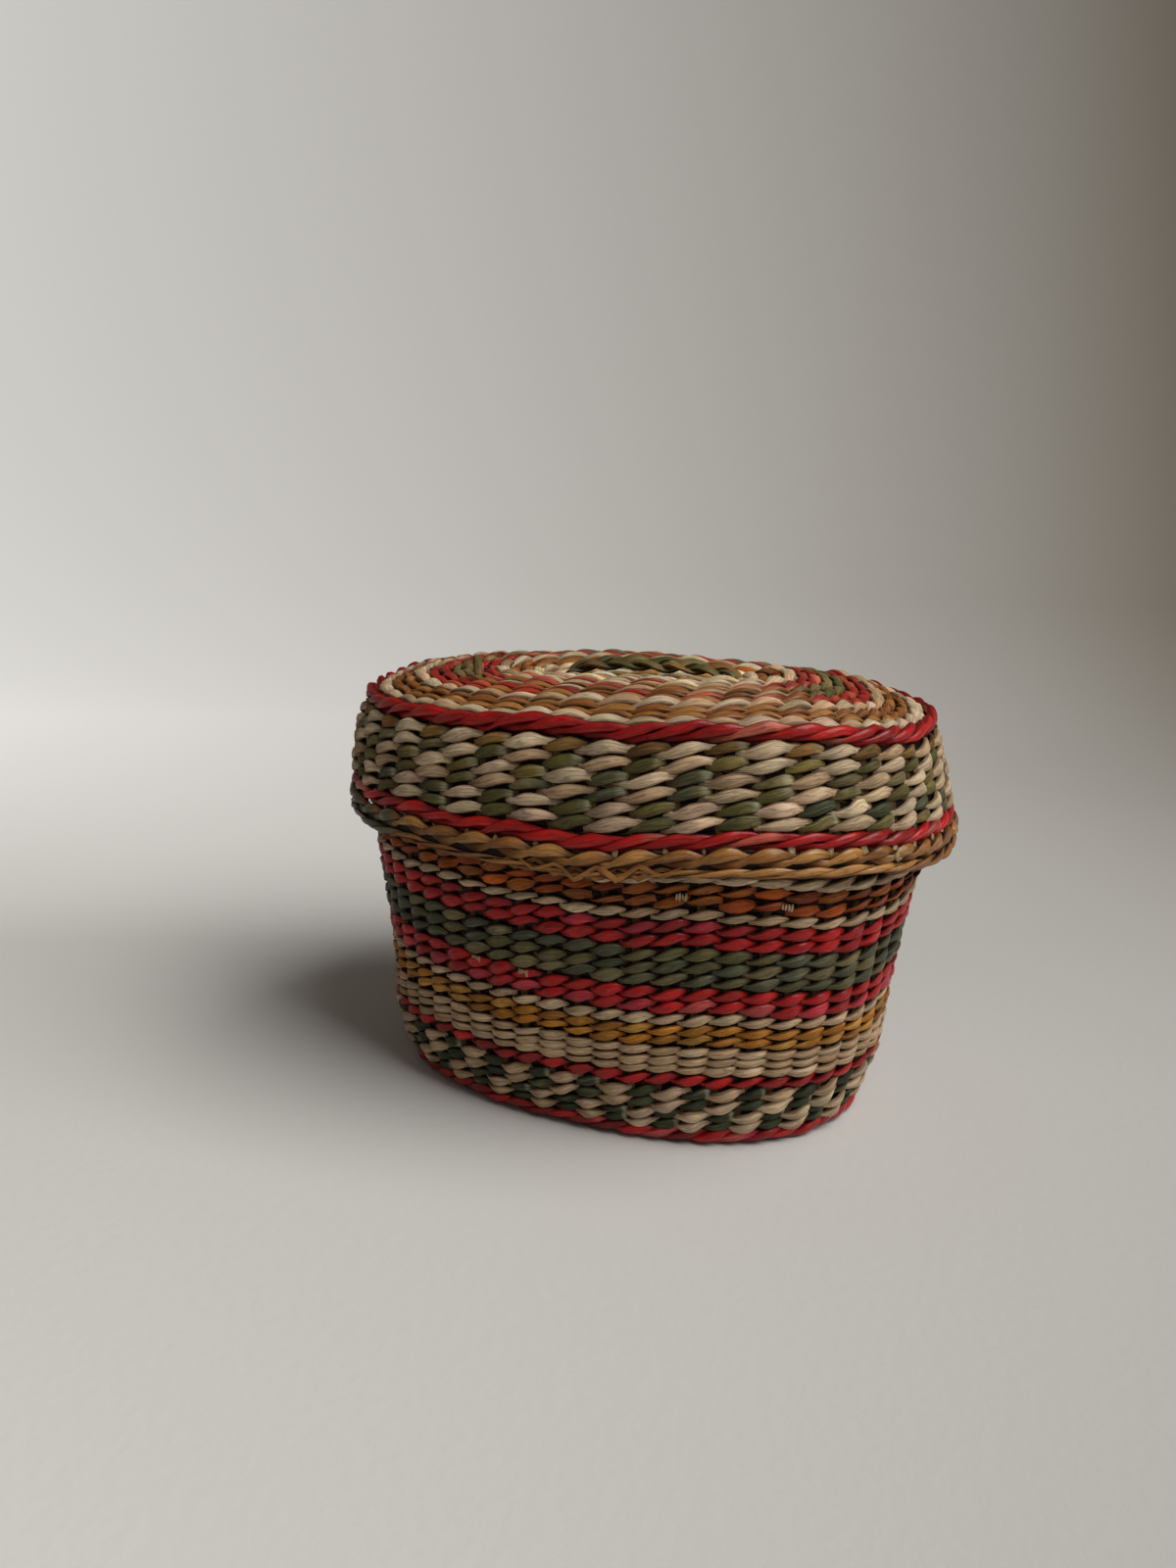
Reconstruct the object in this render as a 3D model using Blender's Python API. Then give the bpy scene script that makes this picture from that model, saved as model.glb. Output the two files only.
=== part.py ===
"""Oval twined basket with a lift-off lid and a braided handle.

Dyed weft rows are twined round flat warp stakes. The stakes spread from a core plate in the middle of the
base and run up the inside of the wall. The lid has a cage of its own, which runs out under the top and down
inside the skirt. Each run of weft rows in one colour is a closed ring on the oval, with one rib for each row.

Units are metres. X runs along the oval, Z is up, and the origin is in the middle of the foot, on the floor.
"""
import math

import bpy
import bmesh

OBJECT_NAME = "oval_twined_basket"

# The oval: a straight core line, and every row keeps a constant reach out from it.
CORE_HALF = 0.0146
RING_SEGMENTS = 24

# The weave: weft over flat stakes, and the clearances between neighbours.
WEFT_THICKNESS = 0.0022
ROW_RELIEF = 0.0006
ROW_GAP = 0.0003
STAKE_GAP = 0.0003
STAKE_THICKNESS = 0.0005
STAKE_WIDTH = 0.0022
STAKE_SHARE = 0.6
WALL_THICKNESS = WEFT_THICKNESS + STAKE_GAP + STAKE_THICKNESS

# Ropes: three-strand rows, thicker than the rest.
ROPE_HEIGHT = 0.0032
ROPE_BULGE = 0.0006
ROPE_RELIEF = 0.0013
ROPE_CREST_SHARE = 0.3

# Body wall, from the foot up.
FOOT_REACH = 0.0327
BELLY_HEIGHT = 0.014
BELLY_REACH = 0.0365
MOUTH_REACH = 0.041
RIM_REACH = 0.037
RIM_HEIGHT = 0.0028
CHECK_ROW = 0.0024
THIN_ROW = 0.00193
OCHRE_ROW = 0.0021
NATURAL_ROW = 0.0023
RED_ROW = 0.0026
OLIVE_ROW = 0.00255
ORANGE_ROW = 0.0026
NECK_ROW = 0.00236

# Base, from its core plate out to the foot.
BASE_CORE_REACH = 0.0022
BASE_INNER_REACH = 0.0135
BASE_RED_REACH = 0.0182
BASE_STAKE_PLATE_REACH = 0.007
BODY_STAKE_COUNT = 54

# Lid: skirt rows from the hem up, then the rows of the top from the edge in to the core strip.
LID_CLEARANCE = 0.0012
LID_SEAT_GAP = 0.0004
BORDER_ROW = 0.0022
BORDER_BULGE = 0.0006
LID_CHECK_ROW = 0.00235
LID_CROWN = 0.0036
LID_DIP = 0.0032
LID_CREST_REACH = 0.018
LID_CORE_REACH = 0.0018
LID_STAKE_PLATE_REACH = 0.007
LID_STAKE_COUNT = 52

# Handle: three strands plaited flat, a low arch along the oval that starts and ends in short legs.
HANDLE_CENTRE_X = 0.002
HANDLE_HALF_SPAN = 0.017
HANDLE_LEG = 0.0009
HANDLE_RISE = 0.0014
HANDLE_STRAND_RADIUS = 0.00078
HANDLE_HALF_WIDTH = 0.0026
HANDLE_HALF_DEPTH = 0.00115
HANDLE_TURNS = 2.5
HANDLE_POINTS = 29
HANDLE_SEAT_GAP = 0.0005

WELD_DISTANCE = 0.000001
WALK_STEPS = 2000
SMOOTH_ANGLE = math.radians(50.0)

# Fibre colours, as red, green and blue shares of full screen brightness, and how matte each one is.
FIBRES = {
    "natural": ((0.71, 0.63, 0.49), 0.72),
    "checker": ((0.50, 0.48, 0.36), 0.72),
    "red": ((0.64, 0.13, 0.14), 0.62),
    "ochre": ((0.72, 0.51, 0.19), 0.68),
    "olive": ((0.38, 0.36, 0.21), 0.66),
    "orange": ((0.58, 0.31, 0.11), 0.66),
    "brown": ((0.56, 0.36, 0.19), 0.68),
    "gold": ((0.74, 0.57, 0.28), 0.66),
    "cream": ((0.80, 0.73, 0.60), 0.80),
    "stake": ((0.74, 0.66, 0.50), 0.74),
}

# Body rows above the foot rope, bottom to top: node, rows, height of one row, fibre.
BODY_ROWS = (
    ("body_checker_rows", 4, CHECK_ROW, "checker"),
    ("body_red_line", 1, RED_ROW, "red"),
    ("body_thin_natural_rows", 3, THIN_ROW, "natural"),
    ("body_ochre_rows", 2, OCHRE_ROW, "ochre"),
    ("body_natural_row_low", 1, NATURAL_ROW, "natural"),
    ("body_red_rows_low", 2, RED_ROW, "red"),
    ("body_olive_rows", 3, OLIVE_ROW, "olive"),
    ("body_red_rows_high", 2, RED_ROW, "red"),
    ("body_natural_row_high", 1, NATURAL_ROW, "natural"),
    ("body_orange_rows", 2, ORANGE_ROW, "orange"),
    ("body_natural_row_top", 1, NATURAL_ROW, "natural"),
)
NECK_ROW_COUNT = 8
NECK_RIB_COUNT = 2
LID_CHECK_ROW_COUNT = 6

# Rows of the lid's top, edge to middle: node, rows, fibre.
LID_TOP_ROWS = (
    ("lid_natural_row_edge", 1, "natural"),
    ("lid_brown_rows", 2, "brown"),
    ("lid_natural_row_outer", 1, "natural"),
    ("lid_red_rows_outer", 2, "red"),
    ("lid_olive_rows", 2, "olive"),
    ("lid_red_rows_inner", 2, "red"),
    ("lid_natural_row_middle", 1, "natural"),
    ("lid_orange_rows", 2, "orange"),
    ("lid_natural_row_inner", 1, "natural"),
    ("lid_gold_rows", 2, "gold"),
)

# Heights that follow from the rows.
MOUTH_HEIGHT = ROPE_HEIGHT + sum(rows * height for _, rows, height, _ in BODY_ROWS)
NECK_TOP = MOUTH_HEIGHT + NECK_ROW_COUNT * NECK_ROW
RIM_TOP = NECK_TOP + RIM_HEIGHT

# Reaches of the lid, set out from the neck that it fits over.
LID_HEM_REACH = MOUTH_REACH + LID_CLEARANCE + WALL_THICKNESS
LID_EDGE_REACH = RIM_REACH + LID_CLEARANCE + WALL_THICKNESS
LID_DISC_REACH = LID_EDGE_REACH - WEFT_THICKNESS - STAKE_GAP
LID_ROW_PITCH = (LID_DISC_REACH - LID_CORE_REACH) / sum(rows for _, rows, _ in LID_TOP_ROWS)


def crown_rise(reach):
    """Height of the lid's top above its edge: up to a crest, then a shallow dip in the middle."""
    if reach > LID_CREST_REACH:
        run = (reach - LID_CREST_REACH) / (LID_DISC_REACH - LID_CREST_REACH)
        return LID_CROWN * (1.0 - run * run)
    run = (LID_CREST_REACH - reach) / LID_CREST_REACH
    return LID_CROWN - LID_DIP * run * run


LID_EDGE_TOP = RIM_TOP + LID_SEAT_GAP + WALL_THICKNESS - crown_rise(RIM_REACH)
LID_SKIRT_HEIGHT = 2 * BORDER_ROW + 2 * ROPE_HEIGHT + LID_CHECK_ROW_COUNT * LID_CHECK_ROW
LID_HEM = LID_EDGE_TOP - LID_SKIRT_HEIGHT


def lid_top(reach):
    """Height of the lid's upper face above the floor."""
    return LID_EDGE_TOP + crown_rise(reach)


def between(value, low, high, at_low, at_high):
    """Straight line through two stations."""
    return at_low + (at_high - at_low) * (value - low) / (high - low)


def wall_reach(height):
    """Reach of the body's wall: a quick flare at the foot, a slow one up to the mouth, then the neck."""
    if height < BELLY_HEIGHT:
        return between(height, 0.0, BELLY_HEIGHT, FOOT_REACH, BELLY_REACH)
    if height < MOUTH_HEIGHT:
        return between(height, BELLY_HEIGHT, MOUTH_HEIGHT, BELLY_REACH, MOUTH_REACH)
    return between(height, MOUTH_HEIGHT, RIM_TOP, MOUTH_REACH, RIM_REACH)


def skirt_reach(height):
    """Reach of the lid's skirt, which widens from the top edge down to the hem."""
    return between(height, LID_HEM, LID_EDGE_TOP, LID_HEM_REACH, LID_EDGE_REACH)


def oval_point(angle, reach):
    """Point on the oval that keeps the given reach from the core line."""
    along = CORE_HALF * math.sin(0.5 * math.pi * math.cos(angle))
    return along + reach * math.cos(angle), reach * math.sin(angle)


def oval_speed(angle, reach):
    """Length of oval that one radian of angle covers."""
    pull = CORE_HALF * 0.5 * math.pi * math.cos(0.5 * math.pi * math.cos(angle))
    return math.hypot((pull + reach) * math.sin(angle), reach * math.cos(angle))


def facet_point(angle, reach):
    """Point on the faceted ring, so that what follows a ring keeps its gap on every facet."""
    step = 2.0 * math.pi / RING_SEGMENTS
    low = math.floor(angle / step)
    share = angle / step - low
    x0, y0 = oval_point(low * step, reach)
    x1, y1 = oval_point(low * step + step, reach)
    return x0 + (x1 - x0) * share, y0 + (y1 - y0) * share


def even_walk(curve, end, shares):
    """Parameters of a curve at the given shares of its length, by walking it in small steps."""
    step = end / WALK_STEPS
    walked = [0.0]
    for index in range(WALK_STEPS):
        walked.append(walked[-1] + math.dist(curve(index * step), curve((index + 1) * step)))
    places = []
    index = 0
    for share in shares:
        target = walked[-1] * share
        while index < WALK_STEPS - 1 and walked[index + 1] < target:
            index += 1
        places.append(between(target, walked[index], walked[index + 1], index * step, (index + 1) * step))
    return places


def linear(shade):
    """Screen brightness to the linear value that a material holds."""
    return shade / 12.92 if shade <= 0.04045 else ((shade + 0.055) / 1.055) ** 2.4


def fibre_material(name, fibre):
    colour, roughness = FIBRES[fibre]
    material = bpy.data.materials.new(name + "_fibre")
    material.use_nodes = True
    shader = material.node_tree.nodes["Principled BSDF"]
    shader.inputs["Base Color"].default_value = tuple(linear(shade) for shade in colour) + (1.0,)
    shader.inputs["Roughness"].default_value = roughness
    shader.inputs["Metallic"].default_value = 0.0
    return material


def add_node(name, data, fibre, parent, height):
    """Put one piece in the collection, at its height above the floor, under its body's empty."""
    piece = bpy.data.objects.new(name, data)
    data.materials.append(fibre_material(name, fibre))
    parts.objects.link(piece)
    piece.parent = parent
    piece.location = (0.0, 0.0, height - parent.location.z)
    return piece


def finished_mesh(name, bm):
    """Close a worked shape: merged, facing out, smooth over its soft edges."""
    bmesh.ops.remove_doubles(bm, verts=bm.verts[:], dist=WELD_DISTANCE)
    bmesh.ops.recalc_face_normals(bm, faces=bm.faces[:])
    mesh = bpy.data.meshes.new(name)
    bm.to_mesh(mesh)
    bm.free()
    mesh.shade_smooth()
    mesh.set_sharp_from_angle(angle=SMOOTH_ANGLE)
    return mesh


def oval_ring(name, section, fibre, parent):
    """Spin a closed section of (reach, height) points, then pull the ring out along the core line."""
    base = min(height for _, height in section)
    bm = bmesh.new()
    corners = [bm.verts.new((reach, 0.0, height - base)) for reach, height in section]
    for index, corner in enumerate(corners):
        bm.edges.new((corner, corners[(index + 1) % len(corners)]))
    bmesh.ops.spin(
        bm,
        geom=bm.verts[:] + bm.edges[:],
        cent=(0.0, 0.0, 0.0),
        axis=(0.0, 0.0, 1.0),
        angle=2.0 * math.pi,
        steps=RING_SEGMENTS,
    )
    bmesh.ops.remove_doubles(bm, verts=bm.verts[:], dist=WELD_DISTANCE)
    for vert in bm.verts:
        angle = math.atan2(vert.co.y, vert.co.x)
        vert.co.x, vert.co.y = oval_point(angle, math.hypot(vert.co.x, vert.co.y))
    return add_node(name, finished_mesh(name, bm), fibre, parent, base)


def row_ribs(rows, start, end):
    """Stations across a run of rows: a groove at each edge of a row and its crest between them."""
    pitch = (end - start) / rows
    stations = [(start, False)]
    for row in range(rows):
        stations.append((start + (row + 0.5) * pitch, True))
        stations.append((start + (row + 1) * pitch, False))
    return stations


def wall_section(low, high, rows, reach_at, bulge, depth):
    """Section of a run of wall rows, with ribs outside and a plain face inside."""
    section = []
    for height, is_crest in row_ribs(rows, low, high):
        section.append((reach_at(height) + bulge - (0.0 if is_crest else ROW_RELIEF), height))
    section.append((reach_at(high) - depth, high))
    section.append((reach_at(low) - depth, low))
    return section


def rope_section(low, high, reach_at):
    """Section of a three-strand rope: one broad round rib that stands proud of the wall."""
    shoulder = ROPE_CREST_SHARE * (high - low)
    return [
        (reach_at(low) + ROPE_BULGE - ROPE_RELIEF, low),
        (reach_at(low + shoulder) + ROPE_BULGE, low + shoulder),
        (reach_at(high - shoulder) + ROPE_BULGE, high - shoulder),
        (reach_at(high) + ROPE_BULGE - ROPE_RELIEF, high),
        (reach_at(high) - WEFT_THICKNESS, high),
        (reach_at(low) - WEFT_THICKNESS, low),
    ]


def disc_section(outer, inner, rows):
    """Section of a run of rows on the lid's top, ribbed above and plain below."""
    section = []
    for reach, is_crest in row_ribs(rows, outer, inner):
        section.append((reach, lid_top(reach) - (0.0 if is_crest else ROW_RELIEF)))
    section.append((inner, lid_top(inner) - WEFT_THICKNESS))
    section.append((outer, lid_top(outer) - WEFT_THICKNESS))
    return section


def core_strip(name, reach, low, high, fibre, parent):
    """The oval strip in the middle: a rounded plate cut from a circle and pulled out along the core."""
    bm = bmesh.new()
    bmesh.ops.create_circle(bm, cap_ends=True, radius=reach, segments=RING_SEGMENTS)
    for vert in bm.verts:
        angle = math.atan2(vert.co.y, vert.co.x)
        vert.co.x, vert.co.y = oval_point(angle, reach)
    lifted = bmesh.ops.extrude_face_region(bm, geom=bm.faces[:])["geom"]
    top = [item for item in lifted if isinstance(item, bmesh.types.BMVert)]
    bmesh.ops.translate(bm, verts=top, vec=(0.0, 0.0, high - low))
    rim = [edge for edge in bm.edges if all(vert in top for vert in edge.verts)]
    bmesh.ops.bevel(bm, geom=rim, offset=ROW_RELIEF, segments=1, affect="EDGES")
    return add_node(name, finished_mesh(name, bm), fibre, parent, low)


def stake_cage(name, count, stations, fibre, parent):
    """A plate whose edge is drawn out, one face in two, into flat stakes that follow the stations.

    A station is the (reach, height) of a stake's outer face and of its inner face, and the first one is
    the edge of the plate.
    """
    shares = [(stake + 0.5) / count for stake in range(count)]
    angles = even_walk(lambda angle: oval_point(angle, MOUTH_REACH), 2.0 * math.pi, shares)
    base = min(height for station in stations for _, height in station)
    bm = bmesh.new()
    stake_of = bm.verts.layers.int.new("stake")
    side_of = bm.verts.layers.int.new("side")
    sheet_of = bm.verts.layers.int.new("sheet")

    def put(vert, station):
        reach, height = station[vert[sheet_of]]
        angle = angles[vert[stake_of]]
        spacing = (angles[(vert[stake_of] + 1) % count] - angles[vert[stake_of] - 1]) % (2.0 * math.pi)
        room = 0.25 * STAKE_SHARE * spacing
        half = min(0.5 * STAKE_WIDTH / oval_speed(angle, reach), room)
        x, y = facet_point(angle + vert[side_of] * half, reach)
        vert.co = (x, y, height - base)

    outline = []
    for stake in range(count):
        for side in (-1, 1):
            corner = bm.verts.new()
            corner[stake_of] = stake
            corner[side_of] = side
            outline.append(corner)
    plate = bm.faces.new(outline)
    lifted = bmesh.ops.extrude_face_region(bm, geom=[plate], use_keep_orig=True)["geom"]
    for item in lifted:
        if isinstance(item, bmesh.types.BMVert):
            item[sheet_of] = 1
    for vert in bm.verts:
        put(vert, stations[0])
    tips = [face for face in bm.faces if len({vert[stake_of] for vert in face.verts}) == 1]
    for tip in tips:
        for station in stations[1:]:
            tip = bmesh.ops.extrude_discrete_faces(bm, faces=[tip])["faces"][0]
            for vert in tip.verts:
                put(vert, station)
    return add_node(name, finished_mesh(name, bm), fibre, parent, base)


def handle_arch(turn):
    """Middle line of the handle: a long low half ellipse, as distance along the oval and rise."""
    return -HANDLE_HALF_SPAN * math.cos(turn), HANDLE_RISE * math.sin(turn)


def handle_leg(x, y):
    """Foot of a strand, just above the row that it goes down into."""
    reach = math.hypot(max(0.0, abs(x) - CORE_HALF), y)
    return x, y, lid_top(reach) + HANDLE_SEAT_GAP


def handle_strand(name, phase, fibre, parent):
    """One strand of the flat plait, which swings from side to side and over and under the middle line."""
    floor = lid_top(HANDLE_HALF_SPAN + abs(HANDLE_CENTRE_X) - CORE_HALF) + HANDLE_LEG
    shares = [index / (HANDLE_POINTS - 1) for index in range(HANDLE_POINTS)]
    route = []
    for share, turn in zip(shares, even_walk(handle_arch, math.pi, shares)):
        swing = 2.0 * math.pi * HANDLE_TURNS * share + phase
        along, rise = handle_arch(turn)
        out, up = -HANDLE_RISE * math.cos(turn), HANDLE_HALF_SPAN * math.sin(turn)
        lean = HANDLE_HALF_DEPTH * math.sin(2.0 * swing) / math.hypot(out, up)
        x = HANDLE_CENTRE_X + along + lean * out
        route.append((x, HANDLE_HALF_WIDTH * math.sin(swing), floor + rise + lean * up))
    route = [handle_leg(*route[0][:2])] + route + [handle_leg(*route[-1][:2])]
    curve = bpy.data.curves.new(name, "CURVE")
    curve.dimensions = "3D"
    curve.bevel_depth = HANDLE_STRAND_RADIUS
    curve.bevel_resolution = 1
    curve.use_fill_caps = True
    spline = curve.splines.new("POLY")
    spline.points.add(len(route) - 1)
    for point, (x, y, z) in zip(spline.points, route):
        point.co = (x, y, z - LID_HEM, 1.0)
    return add_node(name, curve, fibre, parent, LID_HEM)


def clear_scene():
    """Start from an empty file."""
    for item in list(bpy.data.objects):
        bpy.data.objects.remove(item)


def body_axis(name, height):
    """An empty that carries one moving body, on the vertical line that the lid lifts along."""
    empty = bpy.data.objects.new(name, None)
    empty.location.z = height
    parts.objects.link(empty)
    return empty


clear_scene()
parts = bpy.data.collections.new(OBJECT_NAME)
bpy.context.scene.collection.children.link(parts)
body = body_axis("basket_body_origin", 0.0)
lid = body_axis("lid_lift_axis", LID_HEM)
bpy.context.view_layer.update()

# Base: a core strip and three runs of rows, flat underneath.
foot_inner = FOOT_REACH - WEFT_THICKNESS - ROW_GAP
core_strip("base_core", BASE_CORE_REACH, 0.0, WEFT_THICKNESS, "natural", body)
base_runs = (
    ("base_inner_rows", BASE_CORE_REACH + ROW_GAP, BASE_INNER_REACH, "natural"),
    ("base_red_ring", BASE_INNER_REACH + ROW_GAP, BASE_RED_REACH, "red"),
    ("base_outer_rows", BASE_RED_REACH + ROW_GAP, foot_inner, "natural"),
)
for run_name, inner_reach, outer_reach, run_fibre in base_runs:
    flat = [(outer_reach, 0.0), (outer_reach, WEFT_THICKNESS),
            (inner_reach, WEFT_THICKNESS), (inner_reach, 0.0)]
    oval_ring(run_name, flat, run_fibre, body)

# Body wall: the foot rope, then a ring for each run of rows in one colour.
oval_ring("foot_rope", rope_section(0.0, ROPE_HEIGHT - ROW_GAP, wall_reach), "red", body)
level = ROPE_HEIGHT
for run_name, row_count, row_height, run_fibre in BODY_ROWS:
    run_top = level + row_count * row_height
    run = wall_section(level, run_top - ROW_GAP, row_count, wall_reach, 0.0, WEFT_THICKNESS)
    oval_ring(run_name, run, run_fibre, body)
    level = run_top
neck = wall_section(MOUTH_HEIGHT, NECK_TOP - ROW_GAP, NECK_RIB_COUNT, wall_reach, 0.0, WEFT_THICKNESS)
oval_ring("body_neck_rows", neck, "natural", body)
rim = wall_section(NECK_TOP, RIM_TOP, 1, wall_reach, 0.0, WALL_THICKNESS)
oval_ring("body_rim_border", rim, "natural", body)

# Body stakes: across the base just above its rows, then up the inside of the wall.
stake_floor = WEFT_THICKNESS + STAKE_GAP
body_stations = [
    ((BASE_STAKE_PLATE_REACH, stake_floor), (BASE_STAKE_PLATE_REACH, stake_floor + STAKE_THICKNESS)),
]
for height in (stake_floor, BELLY_HEIGHT, MOUTH_HEIGHT, NECK_TOP - ROW_GAP):
    inner_height = height + STAKE_THICKNESS if height == stake_floor else height
    outer = wall_reach(height) - WEFT_THICKNESS - STAKE_GAP
    body_stations.append(((outer, height), (outer - STAKE_THICKNESS, inner_height)))
stake_cage("body_stakes", BODY_STAKE_COUNT, body_stations, "stake", body)

# Lid skirt: the folded border, the twisted row, a rope, the checker rows and the rope at the top edge.
level = LID_HEM
fold = wall_section(level, level + BORDER_ROW - ROW_GAP, 1, skirt_reach, BORDER_BULGE, WALL_THICKNESS)
oval_ring("lid_border_fold", fold, "gold", lid)
level += BORDER_ROW
twist = wall_section(level, level + BORDER_ROW - ROW_GAP, 1, skirt_reach, BORDER_BULGE, WEFT_THICKNESS)
oval_ring("lid_border_twist", twist, "gold", lid)
level += BORDER_ROW
low_rope = rope_section(level, level + ROPE_HEIGHT - ROW_GAP, skirt_reach)
oval_ring("lid_rope_low", low_rope, "red", lid)
level += ROPE_HEIGHT
check_top = level + LID_CHECK_ROW_COUNT * LID_CHECK_ROW
check = wall_section(level, check_top - ROW_GAP, LID_CHECK_ROW_COUNT, skirt_reach, 0.0, WEFT_THICKNESS)
oval_ring("lid_checker_rows", check, "checker", lid)
edge_rope = rope_section(check_top, check_top + ROPE_HEIGHT - ROW_GAP, skirt_reach)
oval_ring("lid_rope_edge", edge_rope, "red", lid)

# Lid top: rings from the edge in, and the core strip in the dip.
reach_out = LID_DISC_REACH
for run_name, row_count, run_fibre in LID_TOP_ROWS:
    reach_in = reach_out - row_count * LID_ROW_PITCH
    run = disc_section(reach_out, reach_in + ROW_GAP, row_count)
    oval_ring(run_name, run, run_fibre, lid)
    reach_out = reach_in
core_top = lid_top(0.0)
core_strip("lid_core", LID_CORE_REACH, core_top - WEFT_THICKNESS, core_top, "cream", lid)

# Lid stakes: out under the top, over the edge and down the inside of the skirt.
lid_stations = []
plate_height = lid_top(0.0) - WEFT_THICKNESS - STAKE_GAP
lid_stations.append(
    ((LID_STAKE_PLATE_REACH, plate_height), (LID_STAKE_PLATE_REACH, plate_height - STAKE_THICKNESS)))
for reach in (LID_CREST_REACH, 0.5 * (LID_CREST_REACH + LID_DISC_REACH), LID_DISC_REACH):
    height = lid_top(reach) - WEFT_THICKNESS - STAKE_GAP
    inner = reach - STAKE_THICKNESS if reach == LID_DISC_REACH else reach
    lid_stations.append(((reach, height), (inner, height - STAKE_THICKNESS)))
hem_height = LID_HEM + BORDER_ROW
hem_reach = skirt_reach(hem_height) - WEFT_THICKNESS - STAKE_GAP
lid_stations.append(((hem_reach, hem_height), (hem_reach - STAKE_THICKNESS, hem_height)))
stake_cage("lid_stakes", LID_STAKE_COUNT, lid_stations, "stake", lid)

# Handle: three strands, a third of a turn apart.
for strand in range(3):
    handle_strand("handle_strand_%d" % (strand + 1), 2.0 * math.pi * strand / 3.0, "olive", lid)
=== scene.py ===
# %% [markdown]
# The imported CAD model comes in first, as a frame that nothing here moves. Its boxes say where every
# band of weaving begins and ends. The look is then built band by band, and each new piece rides on
# the body it belongs to and stands in for the plain CAD solid.

# %% Load the frame
import math

import bmesh
import bpy
import numpy as np
from mathutils import Matrix, Vector


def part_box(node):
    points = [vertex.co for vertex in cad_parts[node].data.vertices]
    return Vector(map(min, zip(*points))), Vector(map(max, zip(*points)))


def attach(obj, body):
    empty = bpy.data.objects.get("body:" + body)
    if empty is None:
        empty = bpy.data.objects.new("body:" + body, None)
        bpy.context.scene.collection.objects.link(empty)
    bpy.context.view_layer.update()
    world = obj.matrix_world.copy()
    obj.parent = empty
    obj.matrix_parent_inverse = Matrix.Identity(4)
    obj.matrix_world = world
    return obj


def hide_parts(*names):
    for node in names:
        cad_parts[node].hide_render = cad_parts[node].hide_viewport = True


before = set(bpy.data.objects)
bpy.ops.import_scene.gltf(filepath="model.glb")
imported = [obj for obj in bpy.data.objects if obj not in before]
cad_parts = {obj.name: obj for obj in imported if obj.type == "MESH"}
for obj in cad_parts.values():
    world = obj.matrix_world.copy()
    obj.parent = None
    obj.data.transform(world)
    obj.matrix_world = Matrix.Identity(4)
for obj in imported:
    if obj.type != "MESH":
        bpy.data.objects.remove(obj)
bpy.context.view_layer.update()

MM = 0.001

# %% [markdown]
# The camera stands where the photographer stood: close to the basket, a little right of its front,
# looking slightly down. A camera's axes are right, up and backwards, so its matrix is written from
# those three directions. A lens of 27 mm on a tall 36 mm frame gives the same perspective.

# %% Camera
CAMERA_PLACE = Vector((0.07685, -0.21583, 0.1159))
CAMERA_TURN = math.radians(19.6 + 2.54)
CAMERA_DIP = math.radians(14.0)
CAMERA_ROLL = math.radians(1.12)

ahead = Vector((
    -math.sin(CAMERA_TURN) * math.cos(CAMERA_DIP),
    math.cos(CAMERA_TURN) * math.cos(CAMERA_DIP),
    -math.sin(CAMERA_DIP),
))
level_right = ahead.cross(Vector((0.0, 0.0, 1.0))).normalized()
level_up = level_right.cross(ahead)
camera_right = math.cos(CAMERA_ROLL) * level_right + math.sin(CAMERA_ROLL) * level_up
camera_up = -math.sin(CAMERA_ROLL) * level_right + math.cos(CAMERA_ROLL) * level_up
axes = Matrix((camera_right, camera_up, -ahead)).transposed()
camera_data = bpy.data.cameras.new("camera")
camera_data.sensor_fit = "VERTICAL"
camera_data.sensor_height = 36.0
camera_data.lens = 27.0
camera_data.clip_start = 0.01
camera = bpy.data.objects.new("camera", camera_data)
camera.matrix_world = Matrix.Translation(CAMERA_PLACE) @ axes.to_4x4()
bpy.context.scene.collection.objects.link(camera)
bpy.context.scene.camera = camera
bpy.context.scene.view_settings.view_transform = "Standard"
print("camera looks along", [round(value, 3) for value in ahead])

# %% [markdown]
# Shader maths reads best as plain sums. This small class wraps one output socket, so that a sum
# written in Python adds the Math nodes by itself. Every other node comes from its make method.

# %% Shader sums
class Wire:
    """One output socket of a node tree."""

    def __init__(self, tree, socket=None):
        self.tree = tree
        self.socket = socket

    def make(self, kind, settings, sockets, output=0):
        """Adds a node: its settings first, then values or wires for its sockets."""
        node = self.tree.nodes.new(kind)
        for name, value in settings.items():
            setattr(node, name, value)
        for name, value in sockets.items():
            if isinstance(value, Wire):
                self.tree.links.new(value.socket, node.inputs[name])
            else:
                node.inputs[name].default_value = value
        return Wire(self.tree, node.outputs[output])

    def mixed(self, share, first, second):
        """Blends from the first colour to the second."""
        return self.make("ShaderNodeMix", {"data_type": "RGBA"}, {0: share, 6: first, 7: second}, 2)

    def noise(self, place, scale, detail):
        return self.make("ShaderNodeTexNoise", {}, {"Vector": place, "Scale": scale, "Detail": detail})

    def part(self, axis):
        """One number of a vector."""
        return self.make("ShaderNodeSeparateXYZ", {}, {"Vector": self}, axis)

    def feed(self, node, name):
        self.tree.links.new(self.socket, node.inputs[name])

    def sum_of(self, operation, first, second, clamp=False):
        settings = {"operation": operation, "use_clamp": clamp}
        return self.make("ShaderNodeMath", settings, {0: first, 1: second})

    def __add__(self, other):
        return self.sum_of("ADD", self, other)

    __radd__ = __add__

    def __sub__(self, other):
        return self.sum_of("SUBTRACT", self, other)

    def __rsub__(self, other):
        return self.sum_of("SUBTRACT", other, self)

    def __mul__(self, other):
        return self.sum_of("MULTIPLY", self, other)

    __rmul__ = __mul__

    def clamped(self):
        return self.sum_of("ADD", self, 0.0, True)


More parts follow.
